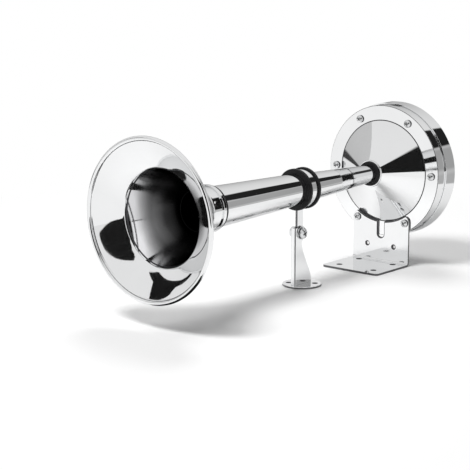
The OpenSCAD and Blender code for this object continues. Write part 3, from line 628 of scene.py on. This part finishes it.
# %% Fastener helpers
def pan_screw(name, head_r, head_t, shank_r, length, thread=0.0):
    """A pan-head screw with its seat at the origin and its head towards -X."""
    def local(x, radius):
        return Vector((x, 0, radius)) * MM
    outline = [(-head_t, 0, 0), (-head_t, head_r * 0.42, head_r * 0.3),
               (-head_t * 0.62, head_r * 0.97, head_r * 0.3), (0, head_r, head_t * 0.12),
               (0, shank_r, 0.05)]
    x = 0.6
    while thread and x < length - 0.8:
        outline += [(x, shank_r, 0), (x + thread / 2, shank_r * 0.86, 0)]
        x += thread
    outline += [(length - 0.4, shank_r, 0), (length, shank_r * 0.8, 0), (length, 0, 0)]
    piece = turn_on_axis(name, outline, steps=40, centre=(0, 0, 0), to_place=local, arc=4)
    for size in ((head_t * 1.1, head_r * 1.05, head_r * 0.2), (head_t * 1.1, head_r * 0.2, head_r * 1.05)):
        cut(piece, slab("blade", Vector((-head_t, 0, 0)) * MM, size))
    shade(piece)
    # painted shade: the cross recess and the ring where the head meets its seat take the near-black steel
    for material in (screw_steel, painted_shade_metal):
        piece.data.materials.append(material)
    for face in piece.data.polygons:
        x, radius = face.center.x / MM, hypot(*face.center.yz) / MM
        in_recess = -0.9 * head_t < x < -0.1 and radius < 0.56 * head_r
        at_seat = -0.4 * head_t < x < 0.1 and radius > 0.9 * head_r
        face.material_index = int(in_recess or at_seat)
    return piece


def copy_to(piece, name, spot, turns=()):
    """A copy with its own mesh, turned about the origin and moved to a spot."""
    other = piece.copy()
    other.data = piece.data.copy()
    other.name = other.data.name = name
    bpy.context.collection.objects.link(other)
    only(other)
    for angle, axis in turns:
        bpy.ops.transform.rotate(value=angle, orient_axis=axis, orient_type="GLOBAL",
                                 center_override=(0, 0, 0))
    bpy.ops.transform.translate(value=spot)
    bpy.ops.object.transform_apply(location=True, rotation=True, scale=True)
    return other


def hex_nut(name, centre, axis, flats, height, bore_r):
    """A hexagon nut with turned corners, its middle at a place."""
    piece = rod(name, centre, flats / 2 / cos(pi / 6), height, axis, 6)
    rounding = soften(rod("rounding", centre, flats / 2 * 1.11, height, axis, 48), flats * 0.07, 2, 60)
    cut(piece, rounding, "INTERSECT")
    cut(piece, rod("bore", centre, bore_r, height * 2, axis, 40))
    return soften(piece, 0.12, 2, 35)


# %% [markdown]
# One screw is turned and copied to six places, each copy at another angle, as
# a hand leaves them. The two lower ones also hold the bracket, so they sit
# higher by its sheet.

# %% Flange screws
SHEET = 1.5
flange_screw = pan_screw("flange_screw", 2.8, 2.1, 1.5, 8.9, thread=0.5)
turns = {0: 12, 60: 48, 120: 5, 180: 70, 240: 30, 300: 64}
for name, seat, angles in (("cover_screws", 0.0, SCREW_ANGLES[:4]),
                           ("bracket_screws", -SHEET, SCREW_ANGLES[4:])):
    copies = [copy_to(flange_screw, name, screw_place(seat, a), [(radians(turns[a]), "X")])
              for a in angles]
    dress(join(name, copies), screw_steel, "horn", "screw_steel", name)
bpy.data.objects.remove(flange_screw)

# %% [markdown]
# ## The rear bracket
# One strip of bright sheet is folded square. Drawn from the side as an L with
# both radii of the bend, it is extruded across its width, and its outer
# corners are rounded in edit mode.

# %% Rear bracket
BEND, BRACKET_HALF, BRACKET_DEPTH = 1.5, 24.3, 40.0
SCREW_Y = SCREW_CIRCLE_R * 0.5
SCREW_Z = AXIS - SCREW_CIRCLE_R * sin(pi / 3)
EAR_TOP = SCREW_Z + 5.0
side = rounded([(0, 0, SHEET + BEND), (0, EAR_TOP, 0), (-SHEET, EAR_TOP, 0), (-SHEET, SHEET, BEND),
                (-BRACKET_DEPTH, SHEET, 0), (-BRACKET_DEPTH, 0, 0)], 10)
bracket = prism("rear_bracket", [place(p.x, -BRACKET_HALF, p.y) for p in side],
                Vector((0, 2 * BRACKET_HALF, 0)) * MM)


def round_corners(piece, test, width, segments=10):
    """Bevels the edges whose two ends both pass a test, in edit mode."""
    only(piece)
    for edge in piece.data.edges:
        edge.select = all(test(piece.data.vertices[i].co) for i in edge.vertices)
    for vertex in piece.data.vertices:
        vertex.select = test(vertex.co)
    for face in piece.data.polygons:
        face.select = False
    bpy.ops.object.mode_set(mode="EDIT")
    bpy.ops.mesh.select_mode(type="EDGE")
    bpy.ops.mesh.bevel(offset=width * MM, segments=segments)
    bpy.ops.mesh.select_mode(type="VERT")
    bpy.ops.object.mode_set(mode="OBJECT")


at_side = lambda co: abs(abs(co.y) - BRACKET_HALF * MM) < 1e-5
for sign in (-1, 1):
    round_corners(bracket, lambda co: at_side(co) and co.y * sign > 0
                  and co.z > (EAR_TOP - 0.01) * MM, 4.5)
    round_corners(bracket, lambda co: at_side(co) and co.y * sign > 0
                  and co.x < (FLANGE - BRACKET_DEPTH + 0.01) * MM, 3.0)
print("strip rounded:", len(bracket.data.polygons), "faces")

# %% [markdown]
# The round bay for the cone, the slot and two small holes are cut twice: once
# right through and once a little wider and half a millimetre deep. That step
# takes the near-black steel, a painted shade line round each opening. The screw
# holes and the base's holes go through once. A last small bevel breaks the
# sheared edges, and those are painted near black as well: painted dark outlines
# on the upright and a painted contact shadow round the base.

# %% Bay, slot and holes
BAY_R, SLOT_R = 37.2, 2.7
SLOT_END = SCREW_Z - 13 + SLOT_R
UPRIGHT_HOLE_Y, UPRIGHT_HOLE_Z, UPRIGHT_HOLE_R = 11.6, 13.0, 1.2
BASE_HOLES_X, BASE_HOLE_Y, BASE_HOLE_R = (-7, -31), 15.0, 2.25
EDGE_WIDTH, EDGE_DEPTH = 0.8, 0.5
for x, depth, wider in ((-SHEET / 2, 6, 0.0), (-SHEET + EDGE_DEPTH - 1, 2, EDGE_WIDTH)):
    cut(bracket, rod("bay", place(x, 0, AXIS), BAY_R + wider, depth, (1, 0, 0), 128))
    cut(bracket, slab("slot", place(x, 0, SLOT_END + 10), (depth, 2 * (SLOT_R + wider), 20)))
    cut(bracket, rod("slot_end", place(x, 0, SLOT_END), SLOT_R + wider, depth, (1, 0, 0), 48))
    for sign in (-1, 1):
        cut(bracket, rod("hole", place(x, sign * UPRIGHT_HOLE_Y, UPRIGHT_HOLE_Z),
                         UPRIGHT_HOLE_R + wider, depth, (1, 0, 0), 40))
for sign in (-1, 1):
    cut(bracket, rod("hole", place(-SHEET / 2, sign * SCREW_Y, SCREW_Z), SCREW_HOLE_R, 6, (1, 0, 0), 32))
    for x in BASE_HOLES_X:
        cut(bracket, rod("hole", place(x, sign * BASE_HOLE_Y, SHEET / 2), BASE_HOLE_R, 6, (0, 0, 1), 48))
soften(bracket, 0.22, 3, 50)
dress(bracket, bright_sheet, "horn", "bright_sheet", "rear_bracket")
# painted shade: the punched step, the sheet edges and the base's walls take the near-black steel
paint(bracket, painted_shade_metal,
      lambda spot, n: abs(n.y) > 0.9 or (spot.z > SHEET + BEND and abs(n.x) < 0.35)
      or (spot.x < -SHEET - BEND and abs(n.z) < 0.35) or abs(spot.x + SHEET - EDGE_DEPTH) < 0.3)

# %% [markdown]
# ## The strap
# A narrow strip wraps the rubber ring and both its ends go straight down,
# back to back, to the stand. Seen from the front it is one line of constant
# thickness, so it is drawn there and extruded by its width. The ends are
# rounded about the pivot hole.

# %% Strap
RING_X, STRAP_W, STRAP_T = -98.0, 6.2, 0.8
STRAP_R, LEG_GAP, FILLET = 12.45, 0.1, 1.5
PIVOT_Z, PIVOT_HOLE_R = 37.3, 2.05
strap_out = STRAP_R + STRAP_T
leg_out = LEG_GAP + STRAP_T
fillet_y = leg_out + FILLET
fillet_z = -sqrt((strap_out + FILLET) ** 2 - fillet_y ** 2)
ring_start = asin(fillet_y / (strap_out + FILLET))
LEG_END = PIVOT_Z - 3.1


def strap_side(sign):
    """Half of the strap seen from the front, from its leg's foot to the top of the ring and back."""
    points = [(leg_out, LEG_END - AXIS)]
    for k in range(7):
        turn = (pi / 2 - ring_start) * k / 6
        points.append((fillet_y - FILLET * cos(turn), fillet_z + FILLET * sin(turn)))
    for k in range(1, 61):
        a = ring_start + (pi - ring_start) * k / 60
        points.append((strap_out * sin(a), -strap_out * cos(a)))
    inner_start = asin(LEG_GAP / STRAP_R)
    for k in range(60, -1, -1):
        a = inner_start + (pi - inner_start) * k / 60
        points.append((STRAP_R * sin(a), -STRAP_R * cos(a)))
    points.append((LEG_GAP, LEG_END - AXIS))
    return [(sign * y, z) for y, z in points]


halves = []
for sign in (-1, 1):
    points = [place(RING_X - STRAP_W / 2, y, AXIS + z) for y, z in strap_side(sign)]
    halves.append(prism("strap_half", points, Vector((STRAP_W, 0, 0)) * MM))
strap = join("strap_clamp", halves)
merge(strap)
for sign in (-1, 1):
    for end in (-1, 1):
        round_corners(strap, lambda co: co.z < (LEG_END + 0.01) * MM and co.y * sign > 0
                      and (co.x - (FLANGE + RING_X) * MM) * end > 3 * MM, 3.05, 8)
cut(strap, rod("hole", place(RING_X, 0, PIVOT_Z), PIVOT_HOLE_R, 6, (0, 1, 0), 48))
soften(strap, 0.12, 2, 50)
dress(strap, bright_sheet, "horn", "bright_sheet", "strap_clamp")
# painted shade: the strap's cut sides take the near-black steel as dark outlines
paint(strap, painted_shade_metal, lambda spot, n: abs(n.x) > 0.9)

# %% [markdown]
# ## The front stand
# The stand is a channel of thin sheet on a round foot. From above it is a U,
# extruded upwards; its side outline, narrow at the pivot and flared at the
# foot, is a second shape, and the part the two have in common is the stand.

# %% Channel of the stand
CHEEK_IN, CHEEK_OUT = 1.15, 2.15
WEB_X, FOOT_T, EYE_R = -6.8, 1.5, 4.9
channel = rounded([(14, CHEEK_IN, 0), (WEB_X + 1, CHEEK_IN, 0.35), (WEB_X + 1, -CHEEK_IN, 0.35),
                   (14, -CHEEK_IN, 0), (14, -CHEEK_OUT, 0), (WEB_X, -CHEEK_OUT, 1.2),
                   (WEB_X, CHEEK_OUT, 1.2), (14, CHEEK_OUT, 0)], 6)
stand = prism("front_stand", [place(RING_X + p.x, p.y, FOOT_T) for p in channel],
              Vector((0, 0, 45)) * MM)
waist = PIVOT_Z - EYE_R - 2
profile = [(WEB_X - 2, FOOT_T - 1, 0), (10.9, FOOT_T - 1, 0), (10.8, FOOT_T + 2.8, 1.5)]
profile += [(x, waist * share, rounding) for x, share, rounding in (
    (10.0, 0.26, 3), (8.3, 0.38, 5), (4.9, 0.6, 8), (1.9, 0.8, 5), (0.7, 0.92, 3), (0.1, 1, 3))]
for k in range(15):
    a = radians(-72 + 165 * k / 14)
    profile.append((EYE_R * cos(a), PIVOT_Z + EYE_R * sin(a), 0))
profile += [(-2.6, PIVOT_Z + 3.4, 0.6), (-4.6, PIVOT_Z + 4.0, 0.5), (WEB_X - 2, PIVOT_Z + 4.0, 0)]
cut(stand, prism("side_shape", [place(RING_X + p.x, -6, p.y) for p in rounded(profile, 6)],
                 Vector((0, 12, 0)) * MM), "INTERSECT")
cut(stand, rod("hole", place(RING_X, 0, PIVOT_Z), PIVOT_HOLE_R, 8, (0, 1, 0), 48))
soften(stand, 0.15, 2, 50)
print("channel:", len(stand.data.polygons), "faces")

# %% [markdown]
# The foot is a turned disc with two holes, welded under the channel, so the
# two are joined into one piece. Only its polished faces are bright: the cut
# edges of the sheet and the bends between web and cheeks take the near-black
# steel as painted dark lines, and the foot's rim takes it as a painted contact
# shadow.

# %% Foot of the stand
FOOT_X, FOOT_R = RING_X + 3.4, 13.5
FOOT_HOLE_OUT, FOOT_HOLE_TURN, FOOT_HOLE_R = 9.0, radians(-56), 2.1


def about_foot(x, radius):
    """A point of an outline about the foot's upright axis."""
    return place(FOOT_X + radius, 0, x)


foot = turn_on_axis("foot", [(0, 0, 0), (0, FOOT_R, 0.35), (FOOT_T, FOOT_R, 0.5), (FOOT_T, 0, 0)],
                    steps=96, centre=place(FOOT_X, 0, 0), axis=(0, 0, 1), to_place=about_foot)
for out in (-FOOT_HOLE_OUT, FOOT_HOLE_OUT):
    spot = place(FOOT_X + out * cos(FOOT_HOLE_TURN), out * sin(FOOT_HOLE_TURN), FOOT_T / 2)
    cut(foot, rod("hole", spot, FOOT_HOLE_R, 5, (0, 0, 1), 40))
stand = dress(join("front_stand", [stand, shade(foot)]), bright_sheet, "stand", "bright_sheet",
              "front_stand")
# painted shade: cut edges, web bends and the foot's rim turn near black
paint(stand, painted_shade_metal,
      lambda spot, n: spot.z < FOOT_T and abs(n.z) < 0.35 or spot.z > FOOT_T + 0.2 and (
          spot.x > RING_X + WEB_X + 1.2 and abs(n.y) < 0.35 or n.x < -0.45 and abs(n.y) > 0.45))

# %% [markdown]
# ## The pivot
# A larger pan-head screw passes washer, cheek, both straps, cheek and washer,
# and a nut holds it on the far side. It is the horn screw's big brother, made
# with the same helper and turned to lie across the horn.

# %% Pivot screw, washers and nut
SEAT_Y = CHEEK_OUT + 0.025 + 0.5
blank = pan_screw("pivot_blank", 4.0, 2.6, 2.0, 2 * SEAT_Y + 4.2, thread=0.7)
pivot = copy_to(blank, "pivot_screw", place(RING_X, -SEAT_Y, PIVOT_Z),
                [(radians(20), "X"), (radians(-90), "Z")])
bpy.data.objects.remove(blank)
dress(pivot, screw_steel, "stand", "screw_steel", "pivot_screw")
washers = []
for sign in (-1, 1):
    centre = place(RING_X, sign * (CHEEK_OUT + 0.025 + 0.25), PIVOT_Z)
    washer = rod("washer", centre, 4.4, 0.5, (0, 1, 0), 64)
    washers.append(cut(washer, rod("bore", centre, PIVOT_HOLE_R, 3, (0, 1, 0), 48)))
washers = soften(join("pivot_washers", washers), 0.1, 2)
dress(washers, screw_steel, "stand", "screw_steel", "pivot_washers")
pivot_nut = hex_nut("pivot_nut", place(RING_X, SEAT_Y + 1.6, PIVOT_Z), (0, 1, 0), 7, 3.2, 2.02)
dress(pivot_nut, screw_steel, "stand", "screw_steel", "pivot_nut")

# %% [markdown]
# ## The back of the driver
# Behind the housing are the pieces a fitter sees: the stud's washer and nut,
# the slotted adjusting screw with its lock nut, and a moulded block with two
# blade terminals.

# %% Stud and adjuster
stud_washer = turn_on_axis("stud_washer", [
    (COVER_BACK, 3.2, 0.1), (COVER_BACK, 6.5, 0.25),
    (COVER_BACK + 1, 6.5, 0.35), (COVER_BACK + 1, 3.2, 0.1)], steps=64)
dress(stud_washer, screw_steel, "horn", "screw_steel", "stud_washer")
stud_nut = hex_nut("stud_nut", place(COVER_BACK + 3, 0, AXIS), (1, 0, 0), 10, 4, 3.03)
dress(stud_nut, screw_steel, "horn", "screw_steel", "stud_nut")
locknut = hex_nut("adjuster_locknut", place(RIM_BACK + 1.1, ADJUSTER_Y, AXIS), (1, 0, 0), 7, 2.2, 2.03)
dress(locknut, screw_steel, "horn", "screw_steel", "adjuster_locknut")


def off_adjuster(x, radius):
    """A point of an outline about the adjusting screw's axis."""
    return place(x, ADJUSTER_Y, AXIS + radius)


low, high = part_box("adjusting_screw")
x0, x1 = low.x / MM - FLANGE, high.x / MM - FLANGE
outline = [(x0, 0, 0), (x0, 1.6, 0.1), (x0 + 0.5, 2.0, 0)]
x = x0 + 1.2
while x < x1 - 1:
    outline += [(x, 2.0, 0), (x + 0.35, 1.74, 0)]
    x += 0.7
outline += [(x1 - 0.4, 2.0, 0), (x1, 1.7, 0.15), (x1, 0, 0)]
adjuster = turn_on_axis("adjusting_screw", outline, steps=48, centre=place(0, ADJUSTER_Y, AXIS),
                        to_place=off_adjuster)
cut(adjuster, slab("slot", place(x1, ADJUSTER_Y, AXIS), (2, 6, 0.8)))
dress(shade(adjuster), screw_brass, "adjuster", "screw_brass", "adjusting_screw")

# %% [markdown]
# The block is moulded with a pocket for each blade. The blades are punched
# from tinned brass, with two clipped corners and a hole.

# %% Terminals
block = slab("terminal_block", place(RIM_BACK + 2.5, 0, TERMINAL_Z), (5, 18, 9))
for sign in (-1, 1):
    cut(block, slab("pocket", place(RIM_BACK + 2.5, sign * 4.5, TERMINAL_Z), (8, 0.9, 6.4)))
soften(block, 0.5, 3)
dress(block, black_nylon, "horn", "black_nylon", "terminal_block")
low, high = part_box("terminals")
blade_x = ((low.x + high.x) / 2 / MM - FLANGE, (high.x - low.x) / MM)
blades = []
for sign in (-1, 1):
    blade = slab("blade", place(blade_x[0], sign * 4.5, TERMINAL_Z), (blade_x[1], 0.8, 6.3))
    tip = blade_x[0] + blade_x[1] / 2
    round_corners(blade, lambda co: co.x > place(tip - 0.01, 0, 0).x
                  and abs(abs(co.z - TERMINAL_Z * MM) - 3.15 * MM) < 1e-5, 1.2, 3)
    cut(blade, rod("hole", place(tip - 3.5, sign * 4.5, TERMINAL_Z), 0.9, 3, (0, 1, 0), 32))
    blades.append(blade)
dress(soften(join("terminals", blades), 0.12, 2), tinned_brass, "horn", "tinned_brass", "terminals")

# %% [markdown]
# ## The works inside
# The sealed works stay as measured: they are flat, plainly turned pieces whose
# solids are already right. They get their real finishes, from grey soft iron
# to enamelled copper.

# %% Finishes of the works
works = {
    "throat_plate": plated_steel, "cover_nuts": plated_steel, "diaphragm_washers": plated_steel,
    "diaphragm_nut": plated_steel, "front_gasket": gasket_fibre, "rear_gasket": gasket_fibre,
    "driver_frame": black_enamel, "armature": soft_iron, "pole_core": soft_iron,
    "coil_bobbin": black_nylon, "stud_spacer": black_nylon, "coil_winding": enamelled_wire,
    "contact_insulators": brown_laminate, "contact_root": contact_bronze, "contact_leaf": contact_bronze,
    "contact_arm": contact_bronze, "contact_screws": screw_steel,
}
for name, material in works.items():
    node = nodes[name]
    node.data.materials.clear()
    node.data.materials.append(material)
print("works finished:", len(works))

# %% [markdown]
# The diaphragm is the one piece of the works that bends: its rim is clamped and
# its middle moves with the armature. It is turned again as one thin dish, and
# the sloping part between rim and middle is what gives.

# %% Diaphragm
low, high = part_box("diaphragm")
SPRING_T, HUB_R, SLOPE_IN, SLOPE_OUT = 0.3, 2.05, 30.5, 36.5
rim_x, dish_x, edge_r = low.x / MM - FLANGE, high.x / MM - FLANGE - SPRING_T, (high.y - low.y) / 2 / MM
near_side = [(dish_x, HUB_R, 0), (dish_x, SLOPE_IN, 0), (rim_x, SLOPE_OUT, 0), (rim_x, edge_r, 0)]
far_side = [(x + SPRING_T, radius, 0) for x, radius, _ in reversed(near_side)]
diaphragm = turn_on_axis("diaphragm", near_side + far_side)
for degrees in SCREW_ANGLES:
    cut(diaphragm, rod("punch", screw_place(rim_x, degrees), SCREW_HOLE_R, 3, (1, 0, 0), 32))
diaphragm.data.materials.append(spring_steel)
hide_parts("diaphragm")
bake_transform(shade(diaphragm))
print("diaphragm bends between", rim_x, "and", dish_x)

# %% [markdown]
# ## Floor, light and surroundings
# Polished steel shows its surroundings. A studio surrounds it with white and
# puts black only where a dark line should run along the metal. The floor comes
# first: pale paper that takes the shadows near the horn and fades to plain
# white further off. For reflections it also ends behind the driver, like a
# table's edge, so the covers mirror what is beyond it.

# %% Floor
SEEN_FADE, MIRRORED_FADE = (0.25, 0.42), (0.12, 0.3)
TABLE_END, TABLE_SIDE = (0.20, 0.22), (0.98, 1.02)
bpy.ops.mesh.primitive_plane_add(size=6, location=(0, 0, 0))
floor = bpy.context.object
floor.name = floor.data.name = "floor"
paper = bpy.data.materials.new("floor_paper")
paper.use_nodes = True
tree = paper.node_tree
shader = set_inputs(tree.nodes["Principled BSDF"], {
    "Base Color": (0.8, 0.8, 0.8, 1), "Roughness": 0.9, "Specular IOR Level": 0.0})
path = node_of("ShaderNodeLightPath")
seen, glossy = path.outputs["Is Camera Ray"], path.outputs["Is Glossy Ray"]
spot = node_of("ShaderNodeTexCoord").outputs["Object"]
split = node_of("ShaderNodeSeparateXYZ", {"Vector": spot})
distance = node_of("ShaderNodeVectorMath", {0: spot, 1: (-0.1, 0, 0)},
                   operation="DISTANCE").outputs["Value"]
glow = node_of("ShaderNodeEmission", {"Strength": calc("MULTIPLY", seen, 0.05)})
both = node_of("ShaderNodeAddShader", {0: shader.outputs["BSDF"], 1: glow.outputs["Emission"]})
white = node_of("ShaderNodeEmission", {"Strength": calc("SUBTRACT", 1.0, calc("MULTIPLY", glossy, 0.08))})
far = calc("MAXIMUM", calc("MULTIPLY", edge(distance, *SEEN_FADE), seen),
           calc("MULTIPLY", edge(distance, *MIRRORED_FADE), glossy))
near_and_far = mix_of(far, both.outputs["Shader"], white.outputs["Emission"])
clear = node_of("ShaderNodeBsdfTransparent").outputs["BSDF"]
behind = calc("MAXIMUM", edge(split.outputs["X"], *TABLE_END), edge(split.outputs["Y"], *TABLE_SIDE))
set_inputs(tree.nodes["Material Output"], {
    "Surface": mix_of(calc("MULTIPLY", behind, glossy), near_and_far, clear)})
floor.data.materials.append(paper)
print("floor's nodes:", len(tree.nodes))

# %% [markdown]
# ## Cards cut to shape
# A dark patch in a mirror is the shape of what stands opposite. Following the
# reflected rays outwards from a patch's outline gives the directions of its
# card's corners, so each card is drawn as directions from the place that
# mirrors it. Camera, lamps and shadows pass through: only reflections see it.

# %% Cards
def card(name, seen_from, corners, reach=450, takes=1.0):
    """A card with its corners in directions (turn, rise) from a place in mm. Only reflections see it."""
    points = []
    for turn, rise in corners:
        turn, rise = radians(turn), radians(rise)
        points.append((Vector(seen_from) + reach * Vector((
            sin(turn) * cos(rise), -cos(turn) * cos(rise), sin(rise)))) * MM)
    piece = draw(name, points)
    bpy.ops.mesh.edge_face_add()
    bpy.ops.mesh.quads_convert_to_tris()
    bpy.ops.object.mode_set(mode="OBJECT")
    for kind in ("camera", "diffuse", "shadow"):
        setattr(piece, "visible_" + kind, False)
    felt = bpy.data.materials.new(name + "_felt")
    felt.use_nodes = True
    set_inputs(felt.node_tree.nodes["Principled BSDF"], {
        "Base Color": (0.015, 0.015, 0.015, 1), "Roughness": 1.0, "Specular IOR Level": 0.0,
        "Alpha": takes})
    piece.data.materials.append(felt)
    print("%-12s %2d corners" % (name, len(corners)))


card("lip_card", (-222, 22, 25), [
    (-125.3, 39.5), (-131.9, 38.8), (-139.8, 37.4), (-146.5, 33.5), (-154.2, 27.3), (-161.2, 21.2),
    (-167.1, 15.3), (-172.3, 10.5), (-178.7, 5.4), (-184.8, 1.4), (-184.4, 0.2), (-180.1, 3.2),
    (-173.5, 8.1), (-167, 13.2), (-160.1, 18.7), (-155.8, 20.5), (-151.6, 21.4), (-144.6, 23.9),
    (-135.1, 27.2), (-135.4, 30.7), (-135.7, 34)])
card("side_card", (-222, 40, 48), [
    (-67.4, -1.5), (-72, -0.5), (-75, 1.3), (-78.4, 4), (-79.9, 5.9), (-81.2, 8.7), (-82.7, 12.5),
    (-84.8, 16.6), (-87.5, 21.3), (-89.3, 25.2), (-92, 30.3), (-94.9, 34.3), (-87.9, 33.7), (-81.7, 30),
    (-63, 32.9), (-40, 38), (-26, 40), (-26, -3), (-40, -3)])
card("neck_card", (-180, -12, 72), [(75, 38), (62, 38), (48, 20), (42, -2), (54, -2), (62, 20)], 45)
card("driver_card", (19, 0, 68), [(173, -3), (-143, -3), (-143, 35), (173, 35)], 250, 0.3)
card("deck_card", (-235, -26, 120), [
    (0, -70), (60, -70), (100, -71), (180, -72), (-100, -71), (-60, -70)], 124)

# %% [markdown]
# ## Sky with flags
# Wide, soft patches need no card. They are drawn on the sky itself as windows
# in its two angles, turn and rise, each with its own softness and its share of
# the light. Reflections get the sky with its flags, the camera plain white and
# all other light a dim, even grey that leaves the shadows to the lamps.

# %% Sky directions and flags
world = bpy.data.worlds.new("studio")
bpy.context.scene.world = world
world.use_nodes = True
tree = world.node_tree
tree.nodes.clear()
split = node_of("ShaderNodeSeparateXYZ", {"Vector": node_of("ShaderNodeTexCoord").outputs["Generated"]})
toward = calc("MULTIPLY", calc("ARCTAN2", split.outputs["X"], calc("MULTIPLY", split.outputs["Y"], -1.0)),
              180 / pi)
rise = calc("MULTIPLY", calc("ARCSINE", split.outputs["Z"]), 180 / pi)


def flag(turn, height, sides, soft):
    """1 inside a window of the sky about a middle, 0 outside. Each side has a direction and a distance."""
    off = node_of("ShaderNodeMath", {0: calc("SUBTRACT", toward, turn), 1: 180.0, 2: -180.0},
                  operation="WRAP").outputs["Value"]
    up = calc("SUBTRACT", rise, height)
    inside = 1.0
    for direction, distance in sides:
        a = radians(direction)
        reach = calc("ADD", calc("MULTIPLY", off, cos(a)), calc("MULTIPLY", up, sin(a)))
        inside = calc("MULTIPLY", inside,
                      calc("SUBTRACT", 1.0, edge(reach, distance - soft, distance + soft)))
    return inside


def upright(half_width, half_height):
    """The four sides of a window that stands straight."""
    return [(0, half_width), (90, half_height), (180, half_width), (270, half_height)]


SKY_FILL = 0.34
# each flag: the turn and height of its middle, its sides, its softness and the share of light it takes
FLAGS = [
    (67, 27.5, upright(10.5, 8.5), 1.0, 0.98),
    (58, 7, upright(12, 12), 4.0, 0.55),
    (128, -8, upright(14, 10), 3.0, 0.9),
    (70, 15, upright(4, 5), 1.5, 0.9),
    (4, 53, upright(14, 15), 2.0, 0.95),
    (-68.5, 23, upright(6.5, 6), 1.0, 0.95),
    (180, -6, upright(60, 6), 1.0, 0.9),
    (60, -30, upright(45, 24), 3.0, 0.45),
    (28, 22, upright(7, 25), 2.0, 0.9),
]
light_left = 1.0
for turn, height, sides, soft, takes in FLAGS:
    dark = calc("MULTIPLY", flag(turn, height, sides, soft), takes)
    light_left = calc("MULTIPLY", light_left, calc("SUBTRACT", 1.0, dark))
path = node_of("ShaderNodeLightPath")
mirrored = calc("MAXIMUM", path.outputs["Is Glossy Ray"], path.outputs["Is Transmission Ray"])
level = calc("ADD", calc("MULTIPLY", light_left, mirrored),
             calc("MULTIPLY", SKY_FILL, calc("SUBTRACT", 1.0, mirrored)))
sky = node_of("ShaderNodeBackground", {"Strength": calc("MAXIMUM", level, path.outputs["Is Camera Ray"])})
node_of("ShaderNodeOutputWorld", {"Surface": sky.outputs["Background"]})
print("flags on the sky:", len(FLAGS))

# %% [markdown]
# ## Lamps
# Two soft lamps, one high on the bell's side and one behind the driver, draw
# the shadows on the floor. Reflections don't see them, so no lamp stands in
# the metal.

# %% Lamps
def soft_lamp(name, spot, size, watts):
    """A square area lamp aimed at the middle of the horn."""
    spot = Vector(spot)
    aim = (Vector((-0.1, 0, 0.03)) - spot).to_track_quat("-Z", "Y").to_euler()
    bpy.ops.object.light_add(type="AREA", location=spot, rotation=aim)
    lamp = bpy.context.object
    lamp.name = name
    lamp.data.size = size
    lamp.data.energy = watts
    lamp.visible_glossy = False
    print(name, size, "m,", watts, "W")


soft_lamp("lamp_above", (-0.72, 0.08, 1.15), 0.4, 13)
soft_lamp("lamp_behind", (0.32, 0.3, 0.95), 0.45, 5)

# %% [markdown]
# ## Levels
# The picture keeps its plain levels.

# %% Levels
scene = bpy.context.scene
scene.view_settings.view_transform = "Standard"
